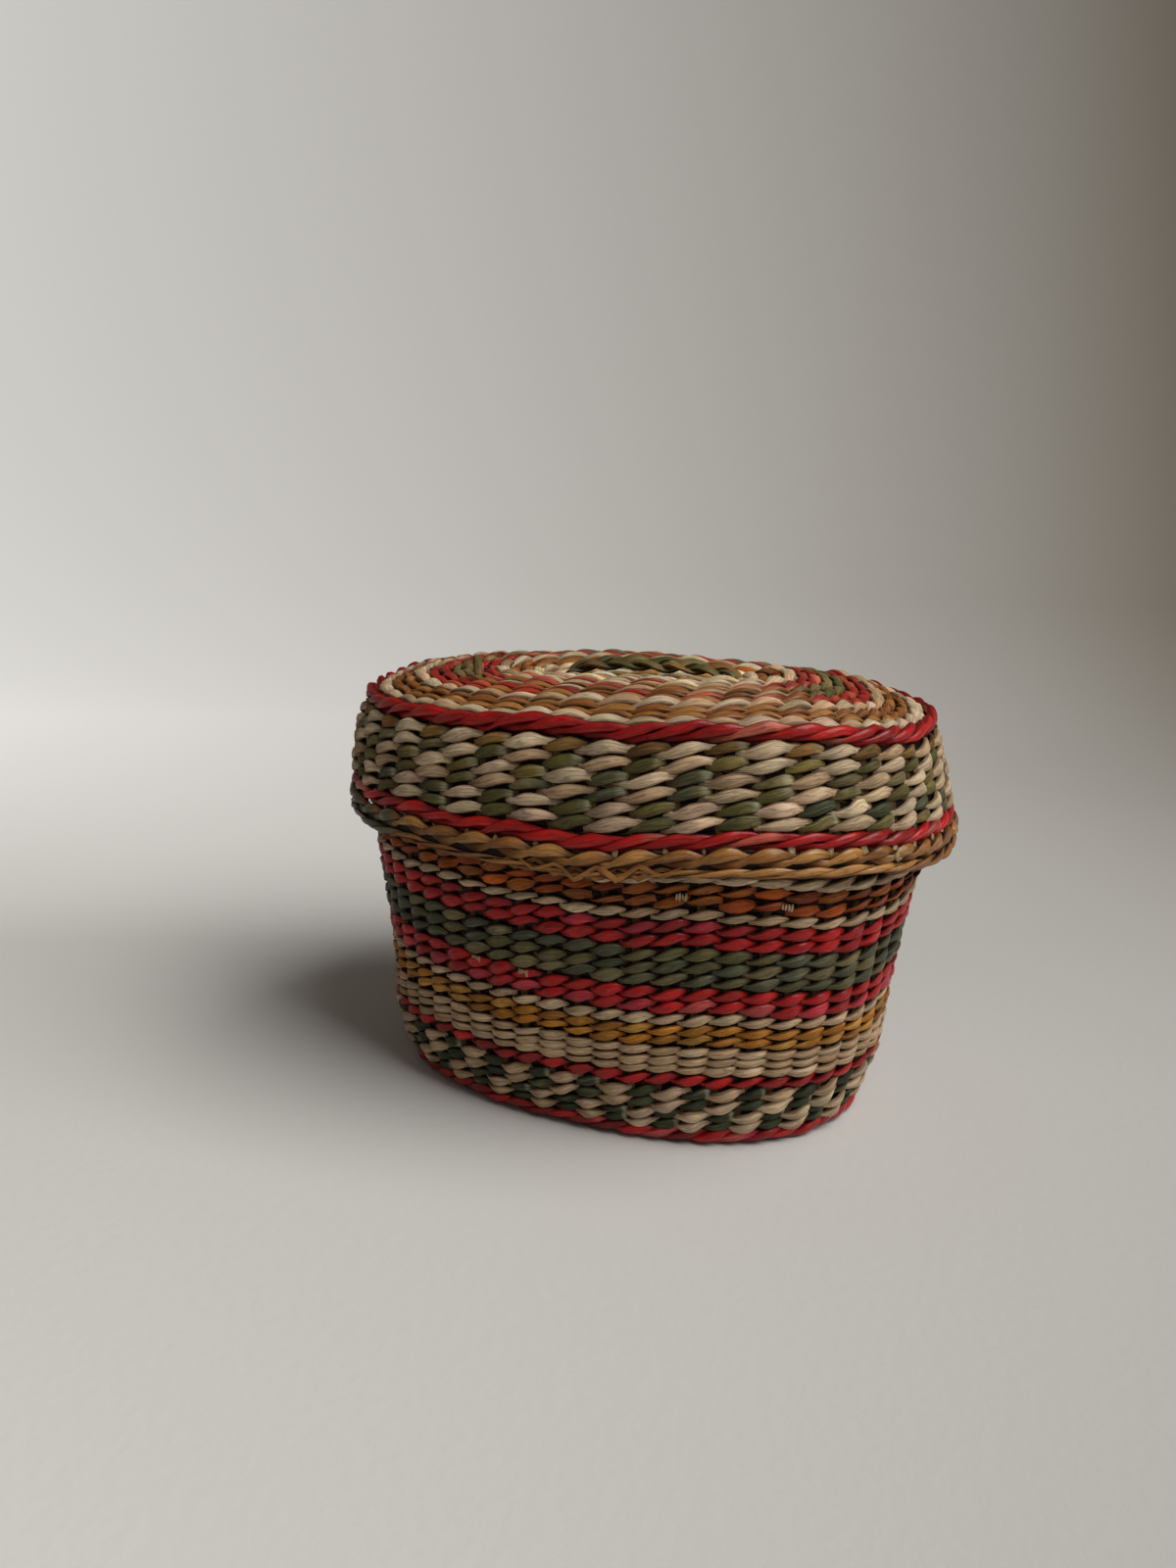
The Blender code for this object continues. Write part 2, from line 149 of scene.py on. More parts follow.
# %% [markdown]
# The stage is a pale sheet that lies flat under the basket and curves up behind it, as in a small
# studio. It is one plane whose far edge is extruded upwards and whose fold is bevelled round, so no
# horizon line shows. Its colour is painted darker towards the back, as painted shade. The camera
# alone sees it paler towards the left, and glowing towards the upper left, where the window's light
# falls: a painted pool of light. The basket and its reflections are lit as if it were not so.

# %% Floor and backdrop
def mode(name):
    bpy.ops.object.mode_set(mode=name)


def nothing_selected():
    if bpy.context.object and bpy.context.object.mode != "OBJECT":
        mode("OBJECT")
    bpy.ops.object.select_all(action="DESELECT")


def select_where(piece, test):
    """Leaves edit mode on, with only the points selected that pass the test."""
    mode("EDIT")
    bpy.ops.mesh.select_mode(type="VERT")
    bpy.ops.mesh.select_all(action="DESELECT")
    mode("OBJECT")
    for vertex in piece.data.vertices:
        vertex.select = test(vertex.co)
    mode("EDIT")


def new_material(name):
    """A material, its Principled BSDF and the means to add nodes to it."""
    material = bpy.data.materials.new(name)
    material.use_nodes = True
    return material, material.node_tree.nodes["Principled BSDF"], Wire(material.node_tree)


SHEET_SIZE = 2.4
SHEET_MIDDLE = -0.3
SHEET_RISE = 1.6
FOLD_SIZE = 0.6


def on_far_edge(co):
    return co.y > SHEET_SIZE / 3.0 and co.z < 0.01


nothing_selected()
bpy.ops.mesh.primitive_plane_add(size=SHEET_SIZE, location=(0.0, SHEET_MIDDLE, 0.0))
floor = bpy.context.object
floor.name = "studio_floor"
bpy.ops.object.transform_apply(location=True, rotation=False, scale=False)
select_where(floor, on_far_edge)
bpy.ops.mesh.extrude_region_move(TRANSFORM_OT_translate={"value": (0.0, 0.0, SHEET_RISE)})
select_where(floor, on_far_edge)
bpy.ops.mesh.bevel(offset=FOLD_SIZE, segments=24)
mode("OBJECT")
bpy.ops.object.shade_smooth()

paper, paper_shader, paper_wire = new_material("pale_paper")
paper_place = paper_wire.make("ShaderNodeTexCoord", {}, {}, "Object")
paper_grain = paper_wire.noise(paper_place, 420.0, 4.0)
paper_bump = paper_wire.make(
    "ShaderNodeBump", {}, {"Height": paper_grain, "Distance": 0.0002, "Strength": 0.5})
paper_bump.feed(paper_shader, "Normal")
# The sheet's colour goes darker towards the back: painted shade.
backwards = (paper_place.part("Y") * 1.9 - 0.05).clamped()
paper_tone_with_shade = paper_wire.mixed(backwards, (0.60, 0.59, 0.57, 1.0), (0.27, 0.24, 0.20, 1.0))
# For camera rays alone the sheet is paler towards the left and glows towards the upper left: a painted pool
# of light, not a lamp.
seen_by_camera = paper_wire.make("ShaderNodeLightPath", {}, {}, "Is Camera Ray")
picture_place = paper_wire.make("ShaderNodeTexCoord", {}, {}, "Window")
leftwards = 1.0 - picture_place.part("X")
upwards = (picture_place.part("Y") * 7.0 - 2.8).clamped()
paper_painted_light = paper_wire.mixed(seen_by_camera * leftwards * 0.9, paper_tone_with_shade, (0.95, 0.94, 0.91, 1.0))
paper_painted_light.feed(paper_shader, "Base Color")
painted_glow_share = seen_by_camera * leftwards * upwards * 0.44
paper_painted_glow = paper_wire.mixed(painted_glow_share, (0.0, 0.0, 0.0, 1.0), (1.0, 0.99, 0.96, 1.0))
paper_painted_glow.feed(paper_shader, "Emission Color")
paper_shader.inputs["Emission Strength"].default_value = 1.0
paper_shader.inputs["Roughness"].default_value = 0.9
floor.data.materials.append(paper)
print("floor faces:", len(floor.data.polygons))

# %% [markdown]
# The photograph is lit by one wide soft source, high on the right, and its shadow falls to the left.
# A large area lamp stands there, a weaker one opens the shadows, and the world adds an even glow.

# %% Lights
BASKET_MIDDLE = Vector((0.0, 0.0, 0.04))


def soft_lamp(name, place, size, power, colour):
    """A square area lamp that faces the basket."""
    data = bpy.data.lights.new(name, "AREA")
    data.size = size
    data.energy = power
    data.color = colour
    lamp = bpy.data.objects.new(name, data)
    lamp.location = place
    aim = BASKET_MIDDLE - Vector(place)
    lamp.rotation_euler = aim.to_track_quat("-Z", "Y").to_euler()
    bpy.context.scene.collection.objects.link(lamp)


soft_lamp("window_light", (0.60, -0.10, 0.84), 0.75, 9.0, (1.0, 0.985, 0.96))
soft_lamp("fill_light", (0.25, -0.85, 0.50), 0.7, 0.20, (1.0, 0.96, 0.91))
world = bpy.data.worlds.new("studio_air")
world.use_nodes = True
bpy.context.scene.world = world
air = Wire(world.node_tree)
glow = world.node_tree.nodes["Background"]
glow.inputs["Color"].default_value = (1.0, 0.91, 0.82, 1.0)
glow.inputs["Strength"].default_value = 0.075
pale = air.make("ShaderNodeBackground", {}, {"Color": (0.27, 0.24, 0.20, 1.0), "Strength": 1.0})
seen = air.make("ShaderNodeLightPath", {}, {}, "Is Camera Ray")
for ray in ("Is Glossy Ray", "Is Transmission Ray"):
    seen = seen + air.make("ShaderNodeLightPath", {}, {}, ray)
lit_air = Wire(world.node_tree, glow.outputs[0])
both = air.make("ShaderNodeMixShader", {}, {0: seen.clamped(), 1: lit_air, 2: pale})
both.feed(world.node_tree.nodes["World Output"], "Surface")

# %% [markdown]
# Dyed straw is never one flat colour: it has fine lines along its length, pale places where the dye
# did not take, and stitches that are lighter or darker than their neighbours. The colour of every
# stitch is stored on the mesh as an attribute, and the material adds the lines, the pale places and
# a little gloss on top. It also paints shade, going to a near-black brown where a strand is tucked
# away and along its edges, where it meets the next. The lines follow the strand because they read
# the piece's own UV map.

# %% Fibre material
def linear(red, green, blue):
    """Screen colour from 0 to 255 as the linear values that Blender works in."""
    shares = [value / 255.0 for value in (red, green, blue)]
    return tuple(
        share / 12.92 if share <= 0.04045 else ((share + 0.055) / 1.055) ** 2.4 for share in shares)


PALE_STRAW = linear(206, 184, 148) + (1.0,)
# GROOVE_SHADE is the near-black brown of the painted shade in the grooves.
GROOVE_SHADE = linear(24, 8, 3) + (1.0,)


def fibre_material(name, matte, coat, lines, fade, relief, rim=0.0):
    """A straw finish: how matte, glossy, lined, faded, rough to the touch and pale-edged it is; the pale edge
    is partly the cut edge's colour and partly a painted highlight.
    """
    material, shader, wire = new_material(name)
    along = wire.make("ShaderNodeUVMap", {"uv_map": "Grain"}, {})
    place = wire.make("ShaderNodeTexCoord", {}, {}, "Object")
    long_way = wire.make("ShaderNodeMapping", {}, {"Vector": along, "Scale": (0.20, 1.6, 1.0)})
    fine_way = wire.make("ShaderNodeMapping", {}, {"Vector": along, "Scale": (0.50, 7.0, 1.0)})
    broad = wire.noise(long_way, 1.0, 2.0)
    fine = wire.noise(fine_way, 1.0, 2.0)
    mottle = wire.noise(place, 330.0, 3.0)
    bright, tuck_shade, around = (
        wire.make("ShaderNodeAttribute", {"attribute_name": stored}, {}, "Fac")
        for stored in ("Bright", "TuckShade", "Around"))
    dye = wire.make("ShaderNodeAttribute", {"attribute_name": "Dye"}, {}, "Color")
    # sine and edge pick out a strand's two edges, where it meets the next: painted shade falls there.
    sine = wire.sum_of("SINE", around * (2.0 * math.pi), 0.0)
    edge = ((sine * sine - 0.52) * 2.4).clamped()
    grain = broad * 0.5 + fine * 0.5
    worn = ((mottle + broad - 1.06) * 3.0).clamped() * fade
    # A thin pale line along one edge of a flat leaf: partly the cut edge's own colour, partly a painted
    # highlight.
    off_rim = around - 0.645
    on_rim = 1.0 - (off_rim * off_rim * 900.0).clamped()
    pale_edge_and_highlight = on_rim * ((mottle - 0.42) * 6.0).clamped() * rim
    tint = wire.mixed((worn + pale_edge_and_highlight).clamped(), dye, PALE_STRAW)
    crease = (1.0 - ((broad - 0.5) * (broad - 0.5) * 260.0).clamped()) * 0.34
    light = (grain - 0.5) * lines + (bright - 0.5) * 0.30 + (mottle - 0.5) * 0.35 + 1.06 - crease
    lit = wire.make("ShaderNodeVectorMath", {"operation": "SCALE"}, {0: tint, "Scale": light})
    # rich and inner give the deeper, darker colour of the painted shade.
    rich = wire.make("ShaderNodeVectorMath", {"operation": "MULTIPLY"}, {0: lit, 1: dye})
    inner = wire.mixed(0.60, rich, GROOVE_SHADE)
    # painted_shade: how far the colour goes into painted shade, from the tuck value and the edges.
    painted_shade = (tuck_shade * tuck_shade * 0.85 + edge * (0.70 + tuck_shade * 0.4)).clamped() * 0.96
    rough = (matte + (0.5 - grain) * 0.35 + (bright - 0.5) * 0.10 + painted_shade * 0.30).clamped()
    bump = wire.make(
        "ShaderNodeBump", {}, {"Height": grain - crease, "Distance": relief * MM, "Strength": 0.9})
    wire.mixed(painted_shade, lit, inner).feed(shader, "Base Color")
    rough.feed(shader, "Roughness")
    bump.feed(shader, "Normal")
    if coat:
        ((1.0 - painted_shade) * coat).feed(shader, "Coat Weight")
    shader.inputs["Coat Roughness"].default_value = 0.22
    shader.inputs["Specular IOR Level"].default_value = 0.22
    return material


FINISHES = {name: fibre_material(name, *numbers) for name, numbers in {
    "natural_fibre": (0.70, 0.04, 0.9, 0.15, 0.30),
    "checker_fibre": (0.62, 0.08, 0.8, 0.10, 0.28),
    "red_fibre": (0.36, 0.30, 0.9, 0.03, 0.20, 0.10),
    "ochre_fibre": (0.50, 0.16, 0.9, 0.18, 0.25, 0.20),
    "olive_fibre": (0.46, 0.22, 0.9, 0.12, 0.25, 0.20),
    "orange_fibre": (0.46, 0.12, 1.1, 0.12, 0.25, 0.70),
    "brown_fibre": (0.50, 0.14, 1.0, 0.14, 0.25, 0.20),
    "gold_straw": (0.34, 0.42, 0.8, 0.10, 0.18, 0.45),
    "cream_fibre": (0.85, 0.0, 0.9, 0.20, 0.35),
    "stake_fibre": (0.75, 0.0, 0.9, 0.20, 0.30),
}.items()}
print("finishes:", len(FINISHES))

# %% [markdown]
# Each strand takes its colours from a short list, in runs of a few stitches, because a weaver adds a
# new leaf every hand's width and no two leaves took the dye alike.

# %% Dyes
SCREEN_DYES = {
    "natural": [(206, 178, 142), (218, 193, 158), (194, 162, 126), (204, 174, 144)],
    "plain": [(196, 164, 128), (204, 174, 140), (184, 152, 116)],
    "warm": [(210, 182, 146), (218, 188, 152), (200, 160, 118), (214, 174, 136)],
    "olive": [(108, 98, 52), (94, 88, 46), (124, 108, 56), (88, 86, 56)],
    "bronze": [(142, 98, 40), (122, 90, 44), (150, 112, 56)],
    "dark_green": [(62, 68, 44), (54, 60, 40), (78, 80, 52)],
    "mixed_green": [(74, 76, 50), (96, 90, 52), (82, 82, 58), (120, 108, 70)],
    "faded_olive": [(122, 104, 60), (106, 94, 50), (136, 114, 70)],
    "red": [(180, 8, 14), (166, 4, 12), (192, 22, 20)],
    "rose": [(190, 84, 66), (180, 68, 58), (200, 102, 78)],
    "pink": [(194, 52, 64), (186, 42, 58), (202, 78, 76)],
    "faded_red": [(178, 54, 36), (166, 38, 28), (188, 82, 52)],
    "ochre": [(186, 122, 34), (170, 108, 28), (200, 144, 62)],
    "orange": [(188, 90, 12), (166, 74, 8), (138, 60, 8), (164, 90, 28)],
    "brown": [(158, 98, 44), (140, 84, 36), (174, 118, 60)],
    "gold": [(160, 107, 49), (148, 94, 40), (178, 126, 64)],
    "bright_gold": [(222, 166, 98), (208, 148, 80), (234, 186, 122)],
    # shaded_red is red darkened as painted shade, for the foot rope down by the floor.
    "shaded_red": [(136, 4, 12), (122, 3, 10), (150, 14, 18)],
    "cream": [(238, 218, 180), (230, 202, 158), (244, 230, 200)],
    "stake": [(150, 122, 86), (132, 104, 72)],
}
DYES = {name: [linear(*shade) for shade in shades] for name, shades in SCREEN_DYES.items()}


def dye_run(names, count, rng, longest=6):
    """Colours for the stitches of one strand: a run of stitches shares one leaf's colour."""
    names = names if isinstance(names, (list, tuple)) else [names]
    shades = [shade for name in names for shade in DYES[name]]
    colours = []
    while len(colours) < count:
        shade = np.array(shades[rng.integers(len(shades))])
        for _ in range(int(rng.integers(2, longest + 1))):
            depth = 1.0 + 0.10 * rng.standard_normal()
            colours.append(shade * depth * (1.0 + 0.015 * rng.standard_normal(3)))
    return np.clip(np.array(colours[:count]), 0.005, 0.95)


def stitch_dyes(dyes, shares, rng):
    """Colours for every stitch of a row. A dict names other dyes for one stretch of the way round."""
    if not isinstance(dyes, dict):
        return dye_run(dyes, len(shares), rng)
    middle, half = dyes["stretch"]
    here, rest = dye_run(dyes["here"], len(shares), rng), dye_run(dyes["rest"], len(shares), rng)
    apart = np.abs((shares - middle + 0.5) % 1.0 - 0.5) + 0.02 * rng.standard_normal(len(shares))
    return np.where((apart < half)[:, None], here, rest)


print("dyes:", len(DYES))

# %% [markdown]
# The basket's plan is an oval: a core line with every wall at one reach from it. Stakes stand at even
# distances round it. The same curve is written in the CAD, so the strands land on the CAD's walls.

# %% The oval
CORE_HALF = 14.6


UP = np.array([0.0, 0.0, 1.0])


def oval_places(reach, turn):
    return CORE_HALF * np.sin(0.5 * np.pi * np.cos(turn)) + reach * np.cos(turn), reach * np.sin(turn)


def round_oval(reach, shares):
    """Points, outward and running directions at shares of the way round the oval, and its length."""
    fine = np.linspace(0.0, 2.0 * np.pi, 2881)
    x, y = oval_places(reach, fine)
    length = np.concatenate([[0.0], np.cumsum(np.hypot(np.diff(x), np.diff(y)))])
    turn = np.interp((shares % 1.0) * length[-1], length, fine)
    pull = CORE_HALF * 0.5 * np.pi * np.cos(0.5 * np.pi * np.cos(turn))
    flat = np.zeros_like(turn)
    points = np.stack([*oval_places(reach, turn), flat], -1)
    run = np.stack([-(pull + reach) * np.sin(turn), reach * np.cos(turn), flat], -1)
    run /= np.linalg.norm(run, axis=1, keepdims=True)
    out = np.stack([run[:, 1], -run[:, 0], flat], -1)
    return points, out, run, length[-1]


def length_round(reach):
    return round_oval(reach, np.zeros(1))[3]


def round_seat(seat, shares):
    """Points of a row's middle line, with the directions across it, out of it and along it."""
    reach, height, rise_out, rise_up = seat
    points, out, run, _ = round_oval(reach, shares)
    return points + UP * height, out * rise_out + UP * rise_up, out * rise_up - UP * rise_out, run


def unit(vectors):
    return vectors / np.maximum(np.linalg.norm(vectors, axis=-1, keepdims=True), 1e-9)


def ramp(values, low, high):
    """Smooth share from 0 below low to 1 above high."""
    share = np.clip((values - low) / (high - low), 0.0, 1.0)
    return share * share * (3.0 - 2.0 * share)


def share_of(values, low, high, most=1.0):
    """Straight share from 0 at low to 1 at high, and no more than most."""
    return np.clip((values - low) / (high - low), 0.0, most)


def settled(points, body):
    """Slow wanderings of a hand-made wall, and the places where this basket has settled out of true."""
    x, y, z = points[..., 0], points[..., 1], points[..., 2]
    off_floor = share_of(z, 0.0, 12.0)
    side_ways = 0.30 * np.sin(0.083 * y + 0.110 * z + 0.4)
    back_ways = 0.30 * np.sin(0.071 * x - 0.093 * z + 1.9)
    rise = 0.26 * np.sin(0.105 * x + 0.062 * y + 0.7) + 0.16 * np.sin(0.23 * x - 0.17 * y + 2.0)
    rise = rise + 0.10 * np.sin(0.31 * x + 0.21 * y + 0.20 * z)
    rise = rise + 0.08 * np.sin(0.52 * x - 0.44 * y - 0.31 * z)
    lid_tilt = 0.0125 * x - 0.27
    middle_dip = np.exp(-((x + 1.0) / 25.0) ** 2) * share_of(-y, 0.0, 10.0)
    back_droop = ramp(y, 10.0, 34.0) * (0.5 + share_of(x, -20.0, 25.0))
    right_droop = 2.2 * ramp(x, 28.0, 50.0) * ramp(y, -32.0, -4.0)
    left_droop = 1.1 * ramp(-x, 4.0, 30.0) * ramp(-y, -20.0, 10.0)
    lid_droop = np.maximum(np.maximum(back_droop, right_droop), left_droop)
    if body == "lid":
        below_top = share_of(-z, -79.0, -59.0, 1.1)
        drop = lid_droop + 1.7 * middle_dip * below_top - lid_tilt
        flare = share_of(-z, -80.0, -55.0, 1.1)
        pinch = np.exp(-((z - 71.0) / 6.0) ** 2)
        widen = 2.3 * flare * ramp(x, 15.0, 58.0) - 1.2 * pinch * ramp(-x, 20.0, 55.0)
    else:
        neck = share_of(z, 57.0, 69.0)
        right_end = 2.0 * ramp(x, 20.0, 52.0) * share_of(z, 8.0, 50.0) * ramp(-y, -32.0, 0.0)
        drop = np.maximum(lid_droop * neck, right_end) - lid_tilt * neck
        drop = drop + 0.9 * middle_dip * share_of(z, 46.0, 54.0) * share_of(-z, -70.0, -60.0)
        widen = 0.9 * ramp(x, 25.0, 55.0) * share_of(z, 25.0, 50.0) * share_of(-z, -70.0, -56.0)
        widen = widen + 1.2 * ramp(-x, 25.0, 50.0) * share_of(z, 46.0, 54.0)
        foot_pinch = np.exp(-((z - 9.0) / 8.0) ** 2)
        widen = widen - ramp(-x, 15.0, 40.0) * foot_pinch * share_of(z, 0.0, 4.0)
    moved = [side_ways * off_floor + widen, back_ways * off_floor, rise * off_floor - drop]
    return points + np.stack(moved, -1)


print("length of the oval at the mouth, mm:", round(length_round(41.0), 1))

# %% [markdown]
# Twining is the heart of this basket. Two strands run side by side; at every stake one passes in
# front and one behind, and between stakes they cross with a half turn. A twisted rope row has three
# strands that each pass in front of two stakes and behind one. No mesh operator makes that path, so
# each strand's middle line is worked out in numpy and a flattened ring is swept along it. The ring is
# widest where the strand shows and narrow where it dives between two stakes.

# %% Sweep a strand
SIDES = 8
RINGS = 8


def swept(path, normal, thick, wide, tilt, groove, closed):
    """Rings of points round a path. thick is measured along the normal and wide across it."""
    if closed:
        ahead = unit(np.roll(path, -1, 0) - np.roll(path, 1, 0))
    else:
        ahead = unit(np.gradient(path, axis=0))
    normal = unit(normal - (normal * ahead).sum(-1, keepdims=True) * ahead)
    across = np.cross(normal, ahead)
    lean_cos, lean_sin = np.cos(tilt)[:, None], np.sin(tilt)[:, None]
    normal, across = normal * lean_cos + across * lean_sin, across * lean_cos - normal * lean_sin
    turn = 2.0 * np.pi * np.arange(SIDES) / SIDES
    out = np.sign(np.cos(turn)) * np.abs(np.cos(turn)) ** 0.85
    side = np.sign(np.sin(turn)) * np.abs(np.sin(turn)) ** 0.85
    dent = 1.0 - groove[:, None] * (np.abs(np.cos(turn)) > 0.99)[None, :]
    rings = path[:, None] + normal[:, None] * (thick[:, None] * out * dent)[..., None]
    return rings + across[:, None] * (wide[:, None] * side)[..., None]


def held(values, places):
    """Values of the stitches, kept level across each stake and blended in between."""
    low = np.floor(places).astype(int)
    share = np.clip((places - low - 0.3) / 0.4, 0.0, 1.0)
    share = share * share * (3.0 - 2.0 * share)
    if values.ndim > 1:
        share = share[:, None]
    return values[low % len(values)] * (1.0 - share) + values[(low + 1) % len(values)] * share


# %% [markdown]
# A way of twining is a handful of numbers: how many strands, how far a strand swings in and out, how
# much it leans, and its width and thickness where it shows and where it dives. Angles are in radians.
# Widths and leans are shares of the row's height; depths and thicknesses are in millimetres.

# %% Ways of twining
WAY_NAMES = ("depth", "late", "lean", "hook", "peak", "fat", "wide", "thick", "tilt", "groove")
WAY_NUMBERS = {
    "plump": (0.90, 0.12, 0.28, 0.24, 0.12, 0.8, (0.51, 0.27), (0.66, 0.50), 0.10, 0.08),
    "under": (0.85, 0.15, 0.26, 0.30, 0.20, 1.0, (0.46, 0.29), (0.46, 0.38), 0.16, 0.16),
    "leaf": (0.88, 0.22, 0.31, 0.28, 0.34, 1.2, (0.49, 0.23), (0.50, 0.40), 0.14, 0.12),
    "brick": (0.92, 0.22, 0.17, 0.26, 0.20, 0.8, (0.49, 0.34), (0.50, 0.44), 0.10, 0.08),
    "loose": (0.95, 0.28, 0.29, 0.36, 0.34, 1.3, (0.47, 0.28), (0.28, 0.22), 0.36, 0.24),
    "rope": (0.75, 0.25, 0.30, 0.20, 0.50, 1.2, (0.33, 0.20), (0.74, 0.60), 0.06, 0.06),
    "top": (0.62, 0.25, 0.17, 0.20, 0.20, 1.0, (0.43, 0.28), (0.74, 0.54), 0.16, 0.10),
    "crown": (0.70, 0.25, 0.18, 0.20, 0.20, 0.8, (0.57, 0.36), (0.84, 0.60), 0.12, 0.12),
    "twist": (0.62, 0.35, 0.30, 0.20, 0.75, 0.9, (0.45, 0.20), (0.66, 0.36), 0.16, 0.12),
    "flat": (0.56, 0.20, 0.25, 0.14, 0.30, 1.1, (0.36, 0.14), (0.30, 0.18), 0.24, 0.16),
    "full": (0.88, 0.22, 0.30, 0.34, 0.34, 0.9, (0.56, 0.28), (0.56, 0.44), 0.14, 0.12),
    "plait": (0.60, 0.0, 0.30, 0.0, 0.0, 1.3, (0.27, 0.20), (0.42, 0.32), 0.10, 0.10),
}
PLAIN_WAY = dict(strands=2, square=0.3, proud=0.0, back=0.14, kink_highlight=0.0)
OTHERWISE = {
    "plump": dict(proud=0.22), "under": dict(proud=-0.08, kink_highlight=0.55), "leaf": dict(back=0.40),
    "brick": dict(square=0.8, back=0.20), "loose": dict(back=0.80), "rope": dict(strands=3),
    "top": dict(square=0.2), "crown": dict(square=0.2, proud=0.20), "twist": {},
    "flat": dict(strands=3), "full": dict(proud=0.35, back=0.30), "plait": dict(strands=3, square=1.0),
}
WAYS = {
    name: {**PLAIN_WAY, **dict(zip(WAY_NAMES, numbers)), **OTHERWISE[name]}
    for name, numbers in WAY_NUMBERS.items()}
# A pale green painted highlight for the folds of some olive leaves.
PAINTED_KINK_HIGHLIGHT = np.array(linear(206, 204, 168))


def crowded(shares, squeeze):
    """Shares of the way round, moved so that stakes stand wider apart on the long sides."""
    return shares - squeeze / (4.0 * np.pi) * np.sin(4.0 * np.pi * shares)


def strand(seat, count, way, pitch, step, rng, dyes, shift=0.0, squeeze=0.0):
    """One strand of a row that closes on itself: its rings, colours and places for the grain."""
    places = np.arange(count * RINGS) / RINGS
    angle = 2.0 * np.pi * ((places + shift) / way["strands"] + step / way["strands"])
    points, across, normal, _ = round_seat(seat, crowded(places / count, squeeze))
    vary = held(np.clip(rng.standard_normal((count, 6)), -1.6, 1.6), places)
    front = np.cos(angle - way["late"])
    show = np.abs(np.cos(angle - way["peak"])) ** way["fat"]
    if way is WAYS["plait"]:
        swing = np.sin(2.0 * angle)
    else:
        swing = np.tanh(way["square"] * front) / math.tanh(way["square"])
    depth = way["proud"] + way["depth"] * swing + 0.08 * vary[:, 0]
    side = way["lean"] * pitch * np.sin(angle + way["hook"]) + 0.07 * pitch * vary[:, 1]
    path = points + normal * depth[:, None] + across * side[:, None]
    slim, full = way["wide"][1], way["wide"][0]
    wide = pitch * (slim + (full - slim) * show) * (1.0 + 0.12 * vary[:, 2])
    wide = wide * np.where(swing < 0.0, 1.0 - way["back"] * swing, 1.0)
    slim, full = way["thick"][1], way["thick"][0]
    thick = (slim + (full - slim) * show) * (1.0 + 0.10 * vary[:, 3])
    tilt = way["tilt"] * (vary[:, 4] + 0.5 * np.sin(angle))
    groove = np.clip(way["groove"] * (1.0 + vary[:, 5]), 0.0, 0.4)
    rings = swept(path, normal, thick, wide, tilt, groove, True)
    dye = held(stitch_dyes(dyes, crowded(np.arange(count) / count, squeeze), rng), places)
    # Some stitches turn pale where the leaf kinks near its end: a painted highlight on the fold.
    bend = np.exp(-((np.mod(angle - 1.25 + np.pi, 2.0 * np.pi) - np.pi) / 0.22) ** 2)
    kink_highlight = (way["kink_highlight"] * bend * (vary[:, 5] > 0.25))[:, None]
    # tuck_shade grows where the strand passes behind its stakes; the material paints shade there.
    return dict(
        rings=rings, length=length_round(seat[0]), size=float(np.mean(wide + thick) * 3.4),
        dye=dye * (1.0 - kink_highlight) + PAINTED_KINK_HIGHLIGHT * kink_highlight, bright=held(rng.random(count), places),
        tuck_shade=(1.0 - np.clip(swing, -1.0, 1.0)) * 0.5, closed=True)


# %% [markdown]
# All strands of one band become one mesh. It carries the stitch colours, a brightness for each
# stitch, how deep each point is tucked away, which the material paints as shade, a UV map in
# millimetres for the grain, and a second map that lays every strand flat beside the next for the
# texture of the exported model.

